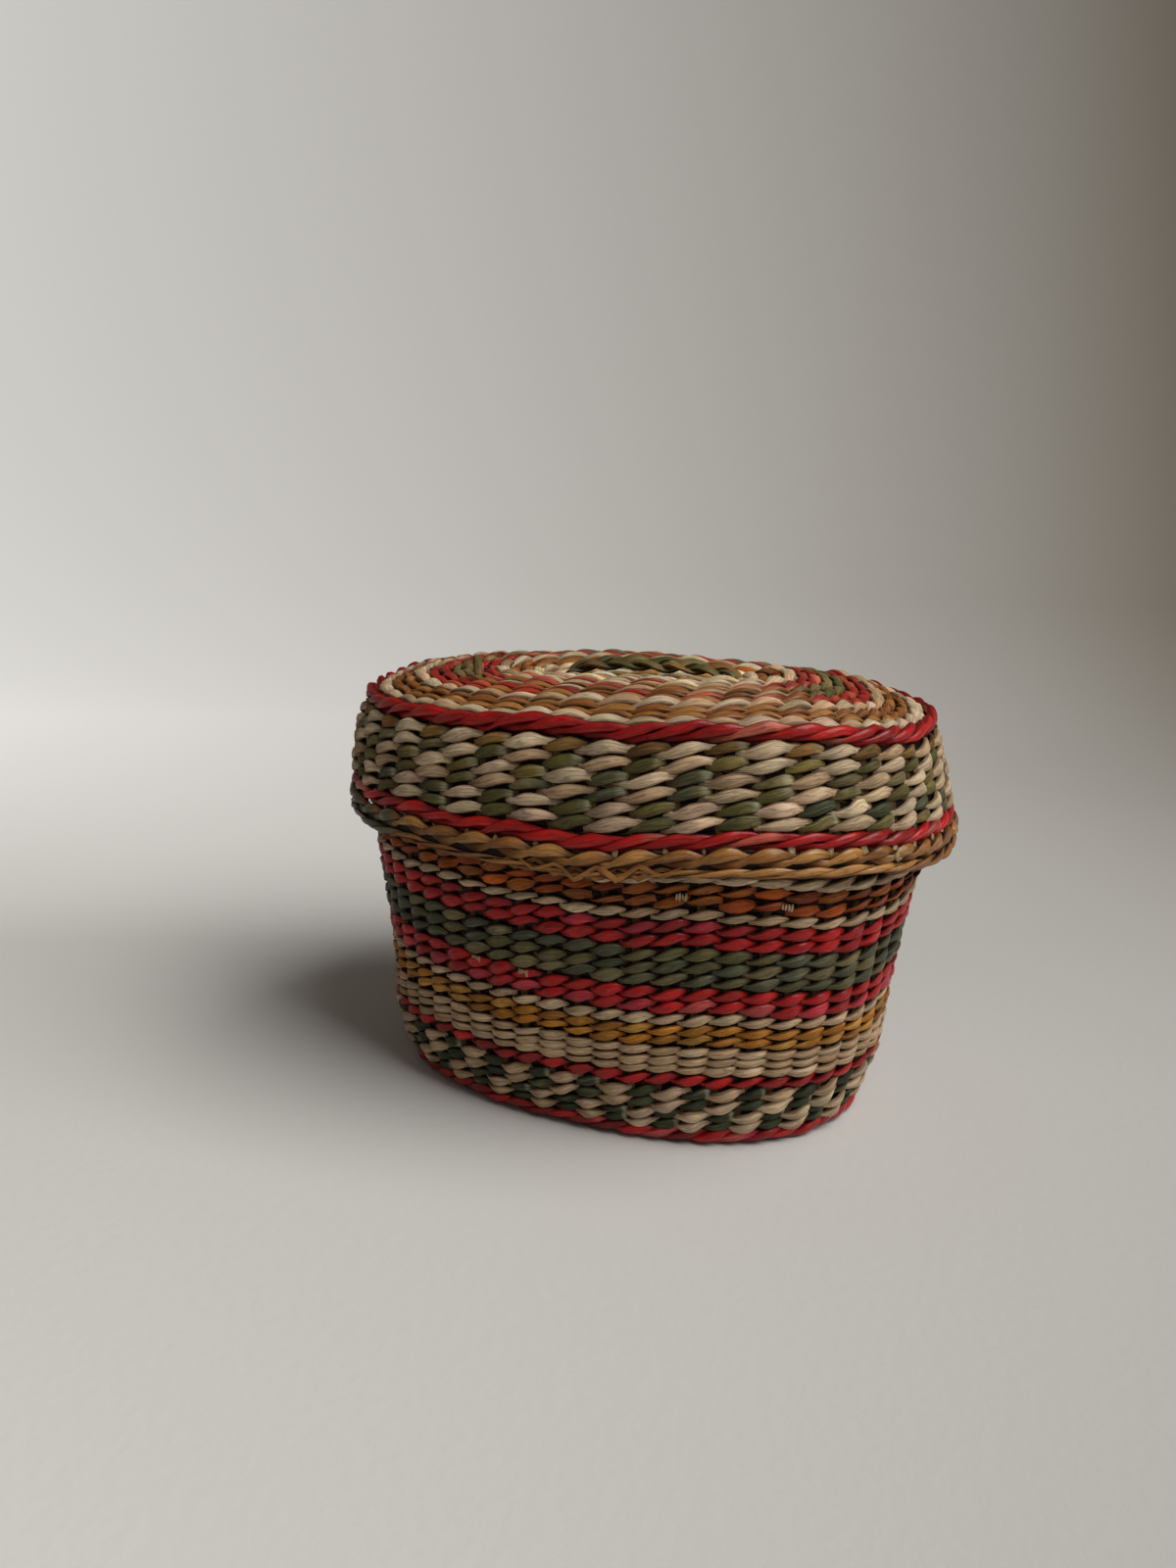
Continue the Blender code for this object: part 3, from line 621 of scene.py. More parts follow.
# %% Build the mesh of a band
def band_mesh(name, strands, body):
    """One mesh of all the strands given."""
    points, faces, grain, flat, dye, bright, tuck_shade, section = [], [], [], [], [], [], [], []
    start = 0
    for index, item in enumerate(strands):
        rings = settled(item["rings"], body)
        count, sides = rings.shape[:2]
        points.append(rings.reshape(-1, 3) * MM)
        steps = count if item["closed"] else count - 1
        ring, side = np.meshgrid(np.arange(steps), np.arange(sides), indexing="ij")
        ring, side = ring.ravel(), side.ravel()
        corner = np.stack([ring, ring + 1, ring + 1, ring], 1)
        edge = np.stack([side, side, side + 1, side + 1], 1)
        faces.append(start + (corner % count) * sides + edge % sides)
        along = corner / count
        around = edge / sides
        lengthwise, crosswise = along * item["length"], around * item["size"]
        grain.append(np.stack([lengthwise + 37.0 * index, crosswise + 5.3 * index], -1))
        lane = (index + 0.05 + 0.90 * around) / len(strands)
        flat.append(np.stack([0.002 + 0.996 * along, lane], -1))
        colour = np.concatenate([item["dye"], np.ones((count, 1))], 1)
        dye.append(np.repeat(colour, sides, 0))
        bright.append(np.repeat(item["bright"], sides))
        tuck_shade.append(np.repeat(item["tuck_shade"], sides))
        section.append(around.ravel())
        start += count * sides
    points, faces = np.concatenate(points), np.concatenate(faces)
    mesh = bpy.data.meshes.new(name)
    mesh.vertices.add(len(points))
    mesh.vertices.foreach_set("co", points.astype(np.float32).ravel())
    mesh.loops.add(faces.size)
    mesh.loops.foreach_set("vertex_index", faces.astype(np.int32).ravel())
    mesh.polygons.add(len(faces))
    mesh.polygons.foreach_set("loop_start", np.arange(0, faces.size, 4, dtype=np.int32))
    mesh.polygons.foreach_set("use_smooth", np.ones(len(faces), bool))
    mesh.update(calc_edges=True)
    for layer, values in (("Grain", grain), ("OFBake", flat)):
        mesh.uv_layers.new(name=layer)
        mesh.uv_layers[layer].uv.foreach_set("vector", np.concatenate(values).astype(np.float32).ravel())
    for layer, kind, where, field, values in (
            ("Dye", "FLOAT_COLOR", "POINT", "color", dye),
            ("Bright", "FLOAT", "POINT", "value", bright),
            ("TuckShade", "FLOAT", "POINT", "value", tuck_shade),
            ("Around", "FLOAT", "CORNER", "value", section)):
        data = mesh.attributes.new(layer, kind, where).data
        data.foreach_set(field, np.concatenate(values).astype(np.float32).ravel())
    mesh.validate()
    if not all(item["closed"] for item in strands):
        work = bmesh.new()
        work.from_mesh(mesh)
        open_edges = [edge for edge in work.edges if edge.is_boundary]
        bmesh.ops.holes_fill(work, edges=open_edges, sides=SIDES)
        work.to_mesh(mesh)
        work.free()
    return mesh


def woven_piece(name, strands, finish, body, *nodes):
    """A woven band as an object that rides on its body and stands for the CAD nodes named."""
    piece = bpy.data.objects.new(name, band_mesh(name, strands, body))
    bpy.context.scene.collection.objects.link(piece)
    piece.data.materials.append(FINISHES[finish])
    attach(piece, body)
    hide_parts(*nodes)
    print(name, "faces:", len(piece.data.polygons))


# %% [markdown]
# The wall's shape is a short table of reach against height, as in the CAD. A row sits in the middle
# of the wall's thickness, and its direction across follows the wall's slope. Inside each row of two
# strands lies a thin near-black sheet: painted shade, which fills the small holes at the crossings
# where only shadow would show between the strands.

# %% Where the rows sit
WALL = 3.0
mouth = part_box("body_natural_row_top")[1].z / MM
rim_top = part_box("body_rim_border")[1].z / MM
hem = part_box("lid_border_fold")[0].z / MM
edge_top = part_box("lid_rope_edge")[1].z / MM
BODY_WALL = ([0.0, 14.0, mouth, rim_top], [32.7, 36.5, 41.0, 37.0])
LID_WALL = ([hem, edge_top], [45.2, 41.2])


def wall_seat(profile, low, high):
    """Seat of a row between two heights: middle reach, height, and its direction across."""
    reach = np.interp([low, high], *profile)
    lean = math.hypot(reach[1] - reach[0], high - low)
    middle = reach.mean() - 0.5 * WALL
    return (middle, 0.5 * (low + high), (reach[1] - reach[0]) / lean, (high - low) / lean)


SHADE_SHEET_THICK = 0.13
SHADE_SHEET_WIDE = 0.53


def shade_sheet(seat, count, pitch, squeeze):
    """The thin near-black sheet inside a row: painted shade in the holes between its strands."""
    places = crowded(np.arange(2 * count) / (2 * count), squeeze)
    points, _, normal, _ = round_seat(seat, places)
    size = np.ones(len(points))
    rings = swept(
        points, normal, SHADE_SHEET_THICK * size, SHADE_SHEET_WIDE * pitch * size, 0.0 * size, 0.0 * size, True)
    # Its colour is the painted groove shade, fully tucked away.
    return dict(
        rings=rings, length=length_round(seat[0]), size=2.0,
        dye=np.repeat([GROOVE_SHADE[:3]], len(points), 0), bright=0.5 * size, tuck_shade=size, closed=True)


def wall_rows(node, profile, count, way, plans, seed, pitches=None, shifts=None, squeeze=0.0, lift=0.0):
    """All strands of the rows between the lowest and the highest point of a CAD node."""
    low, high = (corner.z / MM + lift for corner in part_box(node))
    shares = np.cumsum([0.0] + list(pitches or [1.0] * len(plans)))
    levels = low + (high - low) * shares / shares[-1]
    rng = np.random.default_rng(seed)
    strands = []
    for row, plan in enumerate(plans):
        seat = wall_seat(profile, levels[row], levels[row + 1])
        pitch = levels[row + 1] - levels[row]
        ways = way if isinstance(way, list) else [way] * len(plan)
        shift = shifts[row] if shifts else 0.0
        for step, dyes in enumerate(plan):
            strands.append(strand(seat, count, WAYS[ways[step]], pitch, step, rng, dyes, shift, squeeze))
        if len(plan) == 2:
            strands.append(shade_sheet(seat, count, pitch, squeeze))
    return strands


print("mouth, rim, hem and edge heights, mm:", [round(value, 2) for value in (mouth, rim_top, hem, edge_top)])

# %% [markdown]
# Bottom to top, the body has a red foot rope, a natural and green checker, one red line, thin natural
# rows, ochre, red, olive and orange bands. A checker comes by itself when one strand is natural and
# the other is green. After two rows the weaver shifts them by one stake.

# %% Rows of the body
BODY_STAKES = 54
FOOT_LIFT = 0.55
NATURAL_PAIR = ["natural", "natural"]
CHECKER_PITCHES = [2.2, 2.2, 2.6, 2.6]
CHECKER_SHIFTS = [0.65, 0.65, 1.65, 1.65]
body_plan = [
    # One strand of the foot rope is in shaded_red: painted shade by the floor.
    ("foot_rope", "rope", [["shaded_red", ["red", "pink"], "red"]], "red_fibre"),
    ("body_checker_rows", ["plump", "under"], [["natural", "dark_green"]] * 4, "checker_fibre"),
    ("body_red_line", "leaf", [["red", "red"]], "red_fibre"),
    ("body_thin_natural_rows", "brick", [["plain", "plain"]] * 3, "natural_fibre"),
    ("body_ochre_rows", "leaf", [["ochre", "ochre"]] * 2, "ochre_fibre"),
    ("body_natural_row_low", "leaf", [NATURAL_PAIR], "natural_fibre"),
    ("body_red_rows_low", "leaf", [["red", "pink"], ["red", "red"]], "red_fibre"),
    ("body_olive_rows", "leaf", [["mixed_green", "mixed_green"]] * 3, "olive_fibre"),
    ("body_red_rows_high", "leaf", [["red", "red"], ["red", ["pink", "red"]]], "red_fibre"),
    ("body_natural_row_high", "leaf", [NATURAL_PAIR], "natural_fibre"),
    ("body_orange_rows", "loose", [["orange", "orange"]] * 2, "orange_fibre"),
    ("body_natural_row_top", "full", [NATURAL_PAIR], "natural_fibre"),
    ("body_neck_rows", "brick", [NATURAL_PAIR] * 8, "natural_fibre"),
]
for number, (node, way, plans, finish) in enumerate(body_plan):
    shape = (CHECKER_PITCHES, CHECKER_SHIFTS) if node == "body_checker_rows" else (None, None)
    lift = FOOT_LIFT if node == "foot_rope" else 0.0
    strands = wall_rows(node, BODY_WALL, BODY_STAKES, way, plans, 100 + number, *shape, 0.0, lift)
    woven_piece(node + "_weave", strands, finish, "basket_body", node)

# %% [markdown]
# The base is the same twining, laid flat: it starts at the middle strip, runs outwards ring by ring
# with one red ring, and turns up into the wall at the foot rope. Towards the middle the stakes are
# worked two or three together, so there are fewer stitches in a ring.

# %% Rows of the base
def flat_rows(outer, inner, height_at, inward, plans, way, seed):
    """Strands of flat rings between two reaches. height_at gives the height of the rows' middle."""
    rng = np.random.default_rng(seed)
    levels = np.linspace(outer, inner, len(plans) + 1)
    strands = []
    for row, dyes in enumerate(plans):
        reach = 0.5 * (levels[row] + levels[row + 1])
        pitch = abs(levels[row] - levels[row + 1])
        length = length_round(reach)
        count = min(52, 4 * round(length / 22.4))
        squeeze = min(0.35, 6.6 * count / length - 1.0)
        facing = -1.0 if inward else 1.0
        slope = (height_at(reach + 0.5) - height_at(reach - 0.5)) * facing
        lean = math.hypot(1.0, slope)
        seat = (reach, height_at(reach), facing / lean, slope / lean)
        for step, dye in enumerate(dyes):
            strands.append(strand(seat, count, WAYS[way], pitch, step, rng, dye, 0.0, squeeze))
        strands.append(shade_sheet(seat, count, pitch, squeeze))
    return strands


def reach_of(node):
    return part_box(node)[1].y / MM


BASE_HEIGHT = 1.75
BASE_MIDDLE = 2.5
base_plan = [
    ("base_outer_rows", reach_of("base_red_ring") + 0.3, [NATURAL_PAIR] * 5, "natural_fibre"),
    ("base_red_ring", reach_of("base_inner_rows") + 0.3, [["red", "rose"], ["red", "red"]], "red_fibre"),
    ("base_inner_rows", BASE_MIDDLE, [NATURAL_PAIR] * 5, "natural_fibre"),
]
for number, (node, inner, plans, finish) in enumerate(base_plan):
    strands = flat_rows(reach_of(node), inner, lambda reach: BASE_HEIGHT, False, plans, "top", 200 + number)
    woven_piece(node + "_weave", strands, finish, "basket_body", node)

# %% [markdown]
# The lid's skirt is two red ropes with six checker rows between them. Its natural stitches are plump
# and matte, its olive ones flatter, and some of these carry a painted highlight where they kink.

# %% Skirt of the lid
LID_STAKES = 52
LID_ROPE_STITCHES = 51
LID_SQUEEZE = 0.17
LOW_ROPE_LIFT = 0.3
LID_SHIFTS = [-0.45, -0.45, 0.70, 0.70, -0.17, -0.17]
GREEN_MIX = ["olive", "olive", "mixed_green"]
LID_CHECKER = [["natural", GREEN_MIX]] * 5 + [["natural", "bronze"]]
LOW_ROPE = [["red", ["red", "red", "pink"], ["rose", "red", "red"]]]
EDGE_ROPE = [["red", "red", ["red", "red", "rose"]]]
skirt_plan = [
    ("lid_rope_low", "rope", LOW_ROPE, "red_fibre", LID_ROPE_STITCHES, None, LOW_ROPE_LIFT),
    ("lid_checker_rows", ["plump", "under"], LID_CHECKER, "checker_fibre", LID_STAKES, LID_SHIFTS, 0.0),
    ("lid_rope_edge", "rope", EDGE_ROPE, "red_fibre", LID_ROPE_STITCHES, None, 0.0),
]
for number, (node, way, plans, finish, count, shifts, lift) in enumerate(skirt_plan):
    strands = wall_rows(node, LID_WALL, count, way, plans, 300 + number, None, shifts, LID_SQUEEZE, lift)
    woven_piece(node + "_weave", strands, finish, "lid", node)

# %% [markdown]
# Over the edge the same rows run on towards the middle of the lid. The top is a low cushion with a
# shallow dip in its middle, so a row's height comes from its reach.

# %% Top of the lid
CREST = 18.0
CREST_RISE = 3.6
MIDDLE_DIP = 3.2
DISC_EDGE = 38.7
MIDDLE_STRIP = 1.8


def lid_top(reach):
    """Height of the lid's upper face at a reach from the core line."""
    if reach > CREST:
        return edge_top + CREST_RISE * (1.0 - ((reach - CREST) / (DISC_EDGE - CREST)) ** 2)
    return edge_top + CREST_RISE - MIDDLE_DIP * ((CREST - reach) / CREST) ** 2


def lid_middle(reach):
    return lid_top(reach) - 1.4


def at_front(here, rest):
    """Dyes that differ along the front, where the weaver changed leaves."""
    return {"stretch": (0.76, 0.17), "here": here, "rest": rest}


TAN_RED = at_front(["faded_red", "brown"], ["faded_red"])
ROSE_OLIVE = at_front(["rose", "warm"], "faded_olive")
top_plan = [
    ("lid_natural_row_edge", [NATURAL_PAIR], "natural_fibre"),
    ("lid_brown_rows", [["brown", "brown"]] * 2, "brown_fibre"),
    ("lid_natural_row_outer", [["warm", "natural"]], "natural_fibre"),
    ("lid_red_rows_outer", [[TAN_RED, at_front("brown", "faded_red")], [TAN_RED, "faded_red"]], "red_fibre"),
    ("lid_olive_rows", [[ROSE_OLIVE, at_front("brown", "faded_olive")]] * 2, "olive_fibre"),
    ("lid_red_rows_inner",
     [[at_front(["rose", "cream"], "faded_red"), at_front("warm", "rose")]] * 2, "red_fibre"),
    ("lid_natural_row_middle", [["warm", "cream"]], "natural_fibre"),
    ("lid_orange_rows", [
        [at_front("cream", "brown"), at_front(["rose", "cream"], "orange")],
        [at_front("bright_gold", "brown"), at_front("cream", "brown")]], "orange_fibre"),
    ("lid_natural_row_inner", [["cream", "warm"]], "natural_fibre"),
    ("lid_gold_rows", [["bright_gold", "cream"]] * 2, "gold_straw"),
]
reach_now = reach_of("lid_natural_row_edge")
row_pitch = (reach_now - MIDDLE_STRIP) / sum(len(rows) for _, rows, _ in top_plan)
for number, (node, rows, finish) in enumerate(top_plan):
    inner = reach_now - row_pitch * len(rows)
    way = "crown" if "natural" in node else "top"
    strands = flat_rows(reach_now, inner, lid_middle, True, rows, way, 400 + number)
    woven_piece(node + "_weave", strands, finish, "lid", node)
    reach_now = inner

# %% [markdown]
# At the hem the lid's stakes are turned down and plaited in gold straw. The upper part is a twisted
# pair of strands. Below it runs a flat plait of three, with a near-black sheet behind it as painted
# shade. In one stretch of the front the plait has worked loose: it is slimmer there, and two folded
# ribbons stand open round small dark pockets, dark partly from the painted shade sheet behind them.
# The body's rim is closed with a plait of natural straw, which the lid hides.

# %% Plaited borders
HEM_GOLD = {"stretch": (0.55, 0.08), "here": ["dark_green", "olive"], "rest": "gold"}
LOOSE_SHARE = 0.775
LOOSE_HALF = 0.055
SLIM_SHARE = 0.685
SLIM_HALF = 0.045


def near(shares, middle, half):
    """Share from 1 in the middle of a stretch of the way round to 0 outside it."""
    return np.exp(-(np.abs(shares - middle) / half) ** 4)


def border_rows(profile, low, high, count, way, dyes, seed, proud=0.0, squeeze=0.0):
    """Strands of one border row between two heights. proud moves them out of the wall."""
    reach, height, rise_out, rise_up = wall_seat(profile, low, high)
    rng = np.random.default_rng(seed)
    seat = (reach + proud, height, rise_out, rise_up)
    return [
        strand(seat, count, WAYS[way], high - low, step, rng, dyes[step % len(dyes)], 0.0, squeeze)
        for step in range(WAYS[way]["strands"])]


def pleat(seat, count, swing, half_wide, start, proud, seed, squeeze):
    """A ribbon folded down and up between the stakes, which stands open where the plait is loose."""
    rng = np.random.default_rng(seed)
    places = np.arange(count * RINGS) / RINGS
    shares = crowded(places / count, squeeze)
    points, across, normal, _ = round_seat(seat, shares)
    vary = held(np.clip(rng.standard_normal((count, 4)), -1.5, 1.5), places)
    fall = 1.0 - 2.0 * np.abs(2.0 * ((places + start) % 1.0) - 1.0) ** 0.9
    loose = near(shares, LOOSE_SHARE, LOOSE_HALF)
    side = -swing * (0.08 + 0.92 * loose) * fall * (1.0 + 0.20 * vary[:, 0])
    out_by = proud * loose - 0.35 * (1.0 - loose) + 0.20 * fall * loose + 0.10 * vary[:, 1]
    path = points + across * side[:, None] + normal * out_by[:, None]
    wide = half_wide * (1.0 + 0.20 * vary[:, 2])
    even = np.ones(len(path))
    rings = swept(path, normal, 0.15 * even, wide, 0.4 * vary[:, 3], 0.1 * even, True)
    # tuck_shade: more painted shade where the ribbon sinks in.
    return dict(
        rings=rings, length=length_round(seat[0]), size=4.0,
        dye=held(stitch_dyes(HEM_GOLD, shares[::RINGS], rng), places),
        bright=held(rng.random(count), places), tuck_shade=0.40 - 0.25 * fall, closed=True)


twist = border_rows(
    LID_WALL, hem + 2.3, hem + 4.8, LID_ROPE_STITCHES, "twist", [HEM_GOLD, HEM_GOLD], 500, 0.45, LID_SQUEEZE)
woven_piece("lid_border_twist_plait", twist, "gold_straw", "lid", "lid_border_twist")
fold = border_rows(
    LID_WALL, hem + 0.1, hem + 2.0, LID_ROPE_STITCHES, "flat", [HEM_GOLD], 501, 0.25, LID_SQUEEZE)
for item in fold:
    middle = item["rings"].mean(1, keepdims=True)
    shares = crowded(np.arange(len(middle)) / len(middle), LID_SQUEEZE)
    slim = 1.0 - 0.50 * near(shares, LOOSE_SHARE, LOOSE_HALF) - 0.40 * near(shares, SLIM_SHARE, SLIM_HALF)
    item["rings"] = middle + (item["rings"] - middle) * slim[:, None, None]
fold_seat = wall_seat(LID_WALL, hem + 0.1, hem + 2.7)
shade_sheet_seat = wall_seat(LID_WALL, hem + 0.9, hem + 4.3)
fold += [
    pleat(fold_seat, LID_ROPE_STITCHES, 0.85, 0.62, 0.10, 0.45, 503, LID_SQUEEZE),
    pleat(fold_seat, LID_ROPE_STITCHES, 1.20, 0.52, 0.60, 0.80, 504, LID_SQUEEZE),
    shade_sheet(shade_sheet_seat, LID_ROPE_STITCHES, 3.4, LID_SQUEEZE),
]
woven_piece("lid_border_fold_ribbons", fold, "gold_straw", "lid", "lid_border_fold")
rim = border_rows(BODY_WALL, rim_top - 2.9, rim_top + 0.1, BODY_STAKES, "plait", ["natural", "warm"], 502)
woven_piece("body_rim_plait", rim, "natural_fibre", "basket_body", "body_rim_border")

# %% [markdown]
# The stakes are the warp: flat strips of straw that run from the middle strip outwards, over the edge
# and along the wall, with every row twined round them. They lie in the middle of the wall, so only
# slivers of them show between the stitches. Nearer the middle every second stake has ended.

# %% Stakes
INNER_STOP = 12.0


def stakes_piece(name, profile, count, body, node, seed, squeeze=0.0):
    """Strips along a profile of (reach, height, outward offset) stations, evenly round the oval."""
    stations = np.array(profile)
    travel = np.concatenate([[0.0], np.cumsum(np.hypot(*np.diff(stations[:, :2], axis=0).T))])
    fine = np.linspace(0.0, travel[-1], 30)
    reach, height, proud = (np.interp(fine, travel, stations[:, column]) for column in range(3))
    slope = unit(np.stack([np.gradient(reach), np.gradient(height)], -1))
    shares = crowded(np.arange(count) / count, squeeze)
    rows, normals, gaps = [], [], []
    for index in range(len(fine)):
        points, _, normal, _ = round_seat((reach[index], height[index], *slope[index]), shares)
        rows.append(points + normal * proud[index])
        normals.append(normal)
        gaps.append(length_round(reach[index]) / count)
    rows, normals, gaps = np.array(rows), np.array(normals), np.array(gaps)
    rng = np.random.default_rng(seed)
    strands = []
    for stake in range(count):
        keep = reach > (INNER_STOP if stake % 2 else 0.0)
        size = int(keep.sum())
        even = np.ones(size)
        ends = np.clip(np.minimum(np.arange(size), np.arange(size)[::-1]), 0.12, 1.0)
        wide = np.minimum(0.15 * gaps[keep], 0.85) * ends * rng.uniform(0.85, 1.15)
        twist = rng.normal() * 0.08
        rings = swept(
            rows[keep, stake], normals[keep, stake], 0.27 * ends, wide, twist * even, 0.1 * even, False)
        shade = dye_run("stake", 1, rng)[0]
        # A tuck_shade of 0.9: the material paints the stakes in deep shade, deep in the wall.
        strands.append(dict(
            rings=rings, length=float(travel[-1]), size=5.0, closed=False,
            dye=np.repeat(shade[None], size, 0), bright=rng.random() * even, tuck_shade=0.90 * even))
    woven_piece(name, strands, "stake_fibre", body, node)


BODY_STATIONS = (5.0, 14.0, 25.0, 40.0, mouth, 66.0, rim_top - 1.0)
body_path = [(3.0, BASE_HEIGHT, 0.0), (29.0, BASE_HEIGHT + 0.1, 0.0), (30.8, 2.6, 0.0)]
body_path += [(np.interp(z, *BODY_WALL) - 0.5 * WALL, z, 0.0) for z in BODY_STATIONS]
stakes_piece("body_stake_strips", body_path, BODY_STAKES, "basket_body", "body_stakes", 600)
lid_path = [(np.interp(z, *LID_WALL) - 0.5 * WALL, z, proud) for z, proud in (
    (hem + 1.4, -0.3), (hem + 3.2, -0.3), (hem + 5.6, -0.2), (hem + 8.0, 0.0), (edge_top - 4.0, 0.0))]
lid_path += [(39.3, edge_top - 2.0, 0.0), (38.0, lid_middle(38.0), 0.0)]
lid_path += [(reach, lid_middle(reach), 0.0) for reach in (32.0, 26.0, 20.0, 14.0, 8.0, 3.0)]
stakes_piece("lid_stake_strips", lid_path, LID_STAKES, "lid", "lid_stakes", 601, LID_SQUEEZE)

# %% [markdown]
# Both halves start from a short strip of crossed stakes in the middle, which is lashed round with
# cream straw. The lashing is one strand that winds along the core line, turn beside turn.

# %% Middle strips
LASHING_HALF = 15.6
LASHING_TURNS = 17


def open_strand(path, normal, thick, wide, seed, dyes, groove):
    """A strand with two ends, as the lashing and the handle have."""
    rng = np.random.default_rng(seed)
    count = len(path)
    places = np.arange(count) / RINGS
    stitches = int(places[-1]) + 3
    vary = held(np.clip(rng.standard_normal((stitches, 3)), -1.6, 1.6), places)
    thick = thick * (1.0 + 0.09 * vary[:, 0])
    wide = wide * (1.0 + 0.09 * vary[:, 1])
    # A light, even tuck_shade: painted shade along the strand's edges and a little all over.
    return dict(
        rings=swept(path, normal, thick, wide, 0.12 * vary[:, 2], np.full(count, groove), False),
        length=float(np.linalg.norm(np.diff(path, axis=0), axis=1).sum()), size=5.0, closed=False,
        dye=held(dye_run(dyes, stitches, rng, 5), places),
        bright=held(rng.random(stitches), places), tuck_shade=np.full(count, 0.2))


def lashing(half_wide, half_high, middle, dye, seed):
    """A strand wound round a flat strip that lies along x."""
    share = np.linspace(0.0, 1.0, LASHING_TURNS * 14 + 1)
    angle = 2.0 * np.pi * LASHING_TURNS * share
    x = -LASHING_HALF + 2.0 * LASHING_HALF * share
    path = np.stack([x, half_wide * np.cos(angle), middle + half_high * np.sin(angle)], -1)
    normal = np.stack([np.zeros_like(x), np.cos(angle) / half_wide, np.sin(angle) / half_high], -1)
    taper = np.clip(np.minimum(share, 1.0 - share) * 40.0, 0.15, 1.0)
    return open_strand(path, unit(normal), 0.38 * taper, taper, seed, dye, 0.12)


lid_core = lashing(1.35, 0.85, lid_middle(0.0) + 0.15, "cream", 700)
woven_piece("lid_core_lashing", [lid_core], "cream_fibre", "lid", "lid_core")
base_core = lashing(1.6, 0.95, BASE_HEIGHT, "natural", 701)
woven_piece("base_core_lashing", [base_core], "cream_fibre", "basket_body", "base_core")

# %% [markdown]
# The handle is a flat plait of three olive leaves. Each leaf swings from side to side once while the
# three cross, and goes over and under twice as fast. Both feet go down into the rows of the lid.

# %% Handle
HANDLE_MIDDLE = 2.0
HANDLE_HALF = 17.0
HANDLE_TURNS = 2.0
HANDLE_RISE = 1.5
HANDLE_TILT = math.radians(12.0)
LEAF_SWING = 1.75
LEAF_CROSSING = 0.55
LEAF_DYES = [["olive", "faded_olive"], ["olive", "bronze"], ["faded_olive", "olive"]]
handle_floor = lid_top(HANDLE_HALF + HANDLE_MIDDLE - CORE_HALF)


def handle_leaf(number):
    """One leaf of the plait, with both feet in the lid."""
    fine = np.linspace(0.0, np.pi, 2001)
    step = np.hypot(np.diff(HANDLE_HALF * np.cos(fine)), np.diff(HANDLE_RISE * np.sin(fine)))
    run = np.concatenate([[0.0], np.cumsum(step)])
    share = np.linspace(0.0, 1.0, 81)
    turn = np.interp(share * run[-1], run, fine)
    swing = 2.0 * np.pi * HANDLE_TURNS * share + number * 2.0 * math.pi / 3.0
    flat = np.zeros_like(turn)
    upward = unit(np.stack([-HANDLE_RISE * np.cos(turn), flat, HANDLE_HALF * np.sin(turn) + 4.0], -1))
    away = np.array([0.0, 1.0, 0.0])
    facing = upward * math.cos(HANDLE_TILT) - away * math.sin(HANDLE_TILT)
    across = away * math.cos(HANDLE_TILT) + upward * math.sin(HANDLE_TILT)
    height = handle_floor + 0.5 + HANDLE_RISE * np.sin(turn)
    path = np.stack([HANDLE_MIDDLE - HANDLE_HALF * np.cos(turn), flat, height], -1)
    path = path + across * (LEAF_SWING * np.sin(swing))[:, None]
    path = path + facing * (LEAF_CROSSING * np.sin(2.0 * swing))[:, None]
    feet = []
    for end in (path[0], path[-1]):
        reach = math.hypot(max(0.0, abs(end[0]) - CORE_HALF), end[1])
        low = np.array([end[0], end[1] * 0.8, lid_top(reach) - 1.2])
        feet.append([low, 0.5 * (low + end)])
    path = np.concatenate([feet[0], path, feet[1][::-1]])
    facing = np.concatenate([[facing[0]] * 2, facing, [facing[-1]] * 2])
    swing = np.concatenate([[swing[0]] * 2, swing, [swing[-1]] * 2])
    wide = 1.05 + 0.42 * np.cos(swing) ** 2
    wide[:2] *= 0.7
    wide[-2:] *= 0.7
    leaf = open_strand(path, facing, np.full(len(path), 0.40), wide, 800 + number, LEAF_DYES[number], 0.15)
    # tuck_shade: painted shade where this leaf passes under the others.
    leaf["tuck_shade"] = 0.25 - 0.25 * np.sin(2.0 * swing)
    return leaf


for number in range(3):
    node = "handle_strand_%d" % (number + 1)
    woven_piece("handle_leaf_%d" % (number + 1), [handle_leaf(number)], "olive_fibre", "lid", node)

# %% [markdown]
# Small leftovers make the basket look hand-made: cut stake ends stand as pale points over the border,
# bare stake fibres show where a stitch has slipped, and one straw end sticks out of the lid. Each is
# modelled once in edit mode from a box or a tube, and then copied to its places.

# %% Stake ends and bare fibres
def raw_straw(name, light, dark):
    """Undyed or cut straw with fine upright lines."""
    material, shader, wire = new_material(name)
    place = wire.make("ShaderNodeTexCoord", {}, {}, "Object")
    drawn = wire.make("ShaderNodeMapping", {}, {"Vector": place, "Scale": (2400.0, 2400.0, 300.0)})
    share = ((wire.noise(drawn, 1.0, 2.0) - 0.3) * 2.5).clamped()
    wire.mixed(share, linear(*dark) + (1.0,), linear(*light) + (1.0,)).feed(shader, "Base Color")
    shader.inputs["Roughness"].default_value = 0.8
    shader.inputs["Specular IOR Level"].default_value = 0.2
    return material


def drawn_box(size, top_share, low_share):
    """A thin box, cut in three each way, whose upper and lower ends are drawn in."""
    nothing_selected()
    bpy.ops.mesh.primitive_cube_add(size=1.0)
    piece = bpy.context.object
    mode("EDIT")
    bpy.ops.mesh.select_all(action="SELECT")
    bpy.ops.transform.resize(value=[side * MM for side in size])
    bpy.ops.mesh.subdivide(number_cuts=2)
    for sign, share in ((1.0, top_share), (-1.0, low_share)):
        select_where(piece, lambda co: co.z * sign > 0.4 * size[2] * MM)
        bpy.ops.transform.resize(value=(share, share, 1.0))
    mode("OBJECT")
    bpy.ops.object.shade_smooth()
    return piece


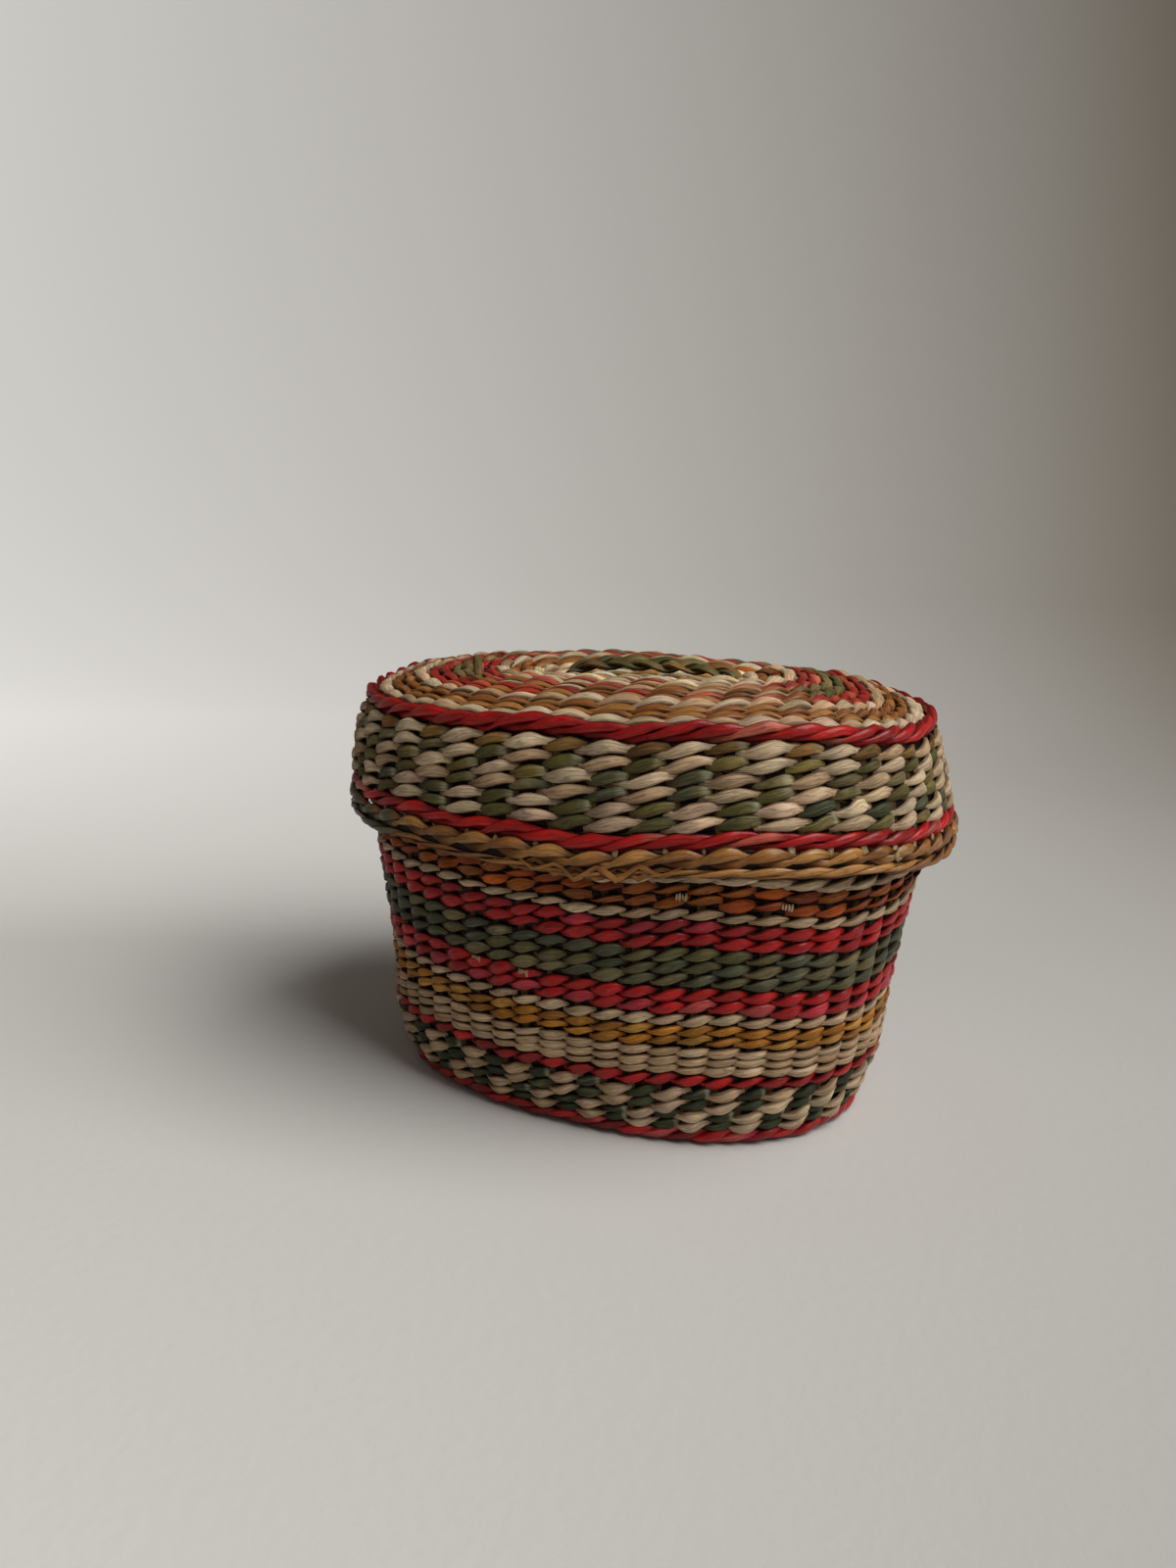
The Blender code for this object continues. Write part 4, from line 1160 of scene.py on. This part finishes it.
def on_wall(profile, body, share, height, proud, lean, size):
    """A placing matrix on a wall: x along the row, y into the wall, z up the wall."""
    seat = wall_seat(profile, height - 0.5, height + 0.5)
    points, across, normal, run = (rows[0] for rows in round_seat(seat, np.array([share])))
    place = settled(points + normal * proud, body)
    along = run * math.cos(lean) + across * math.sin(lean)
    across = across * math.cos(lean) - run * math.sin(lean)
    turned = Matrix((along, -normal, across)).transposed().to_4x4()
    return Matrix.Translation(Vector(place * MM)) @ turned @ Matrix.Scale(size, 4)


def copied_to(piece, places, name, finish, body):
    """Copies a small part to every place and joins the copies to one piece."""
    copies = []
    for matrix in places:
        copy = piece.copy()
        copy.data = piece.data.copy()
        copy.data.transform(matrix)
        bpy.context.scene.collection.objects.link(copy)
        copies.append(copy)
    bpy.data.objects.remove(piece)
    nothing_selected()
    for copy in copies:
        copy.select_set(True)
    bpy.context.view_layer.objects.active = copies[0]
    if len(copies) > 1:
        bpy.ops.object.join()
    joined = bpy.context.object
    joined.name = name
    joined.data.name = name
    joined.data.materials.append(finish)
    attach(joined, body)
    print(name, "faces:", len(joined.data.polygons))


TIP_SIZE = (1.1, 0.3, 2.2)
FIBRE_SIZE = (0.40, 0.3, 1.3)
FIBRE_STEP = 0.55 / 315.0
STUB_RADIUS = 0.80
STUB_LENGTH = 3.6
STUB_WALL = 0.2
STUB_DEPTH = 1.2
tip_straw = raw_straw("raw_straw", (216, 192, 152), (160, 128, 90))
bare_straw = raw_straw("bare_stake_straw", (214, 190, 158), (146, 114, 80))
cut_straw = raw_straw("cut_olive_straw", (150, 130, 80), (84, 74, 42))
rng = np.random.default_rng(900)
tips = []
for number in range(LID_ROPE_STITCHES):
    place = (number + 0.92 + 0.08 * rng.standard_normal()) / LID_ROPE_STITCHES
    share = crowded(place, LID_SQUEEZE)
    height = hem + 4.5 + 0.3 * rng.standard_normal()
    size = rng.uniform(0.85, 1.2) if 0.84 < share < 0.98 else rng.uniform(0.5, 0.9)
    tips.append(on_wall(LID_WALL, "lid", share, height, 0.30, 0.20 * rng.standard_normal(), size))
tips.append(on_wall(LID_WALL, "lid", 0.932, hem + 3.6, 1.15, -0.9, 1.4))
copied_to(drawn_box(TIP_SIZE, 0.3, 0.8), tips, "lid_stake_tips", tip_straw, "lid")

BARE_PLACES = [
    (0.688, 32.5), (0.724, 32.0), (0.822, 50.6), (0.880, 50.2),
    (0.13, 50.4), (0.24, 32.2), (0.37, 50.5), (0.44, 32.2)]
bars = []
for share, height in BARE_PLACES:
    for step in range(4):
        place = share + (step - 1.5) * FIBRE_STEP
        lean = 0.05 * rng.standard_normal()
        bars.append(on_wall(BODY_WALL, "basket_body", place, height, 1.10, lean, rng.uniform(0.7, 1.1)))
fibre = drawn_box(FIBRE_SIZE, 0.7, 0.7)
copied_to(fibre, bars, "body_bare_fibres", bare_straw, "basket_body")

nothing_selected()
bpy.ops.mesh.primitive_cylinder_add(vertices=12, radius=STUB_RADIUS * MM, depth=STUB_LENGTH * MM)
stub = bpy.context.object
select_where(stub, lambda co: co.z > 0.0)
bpy.ops.transform.resize(value=(1.15, 0.75, 1.0))
bpy.ops.mesh.inset(thickness=STUB_WALL * MM)
bpy.ops.mesh.extrude_region_move(TRANSFORM_OT_translate={"value": (0.0, 0.0, -STUB_DEPTH * MM)})
mode("OBJECT")
stub_turn = Matrix.Rotation(math.radians(-9.0), 4, "Y") @ Matrix.Rotation(math.radians(-8.0), 4, "X")
stub_place = Matrix.Translation(Vector((-26.5, -18.5, lid_top(22.0) + 0.2)) * MM) @ stub_turn
copied_to(stub, [stub_place], "lid_straw_stub", cut_straw, "lid")
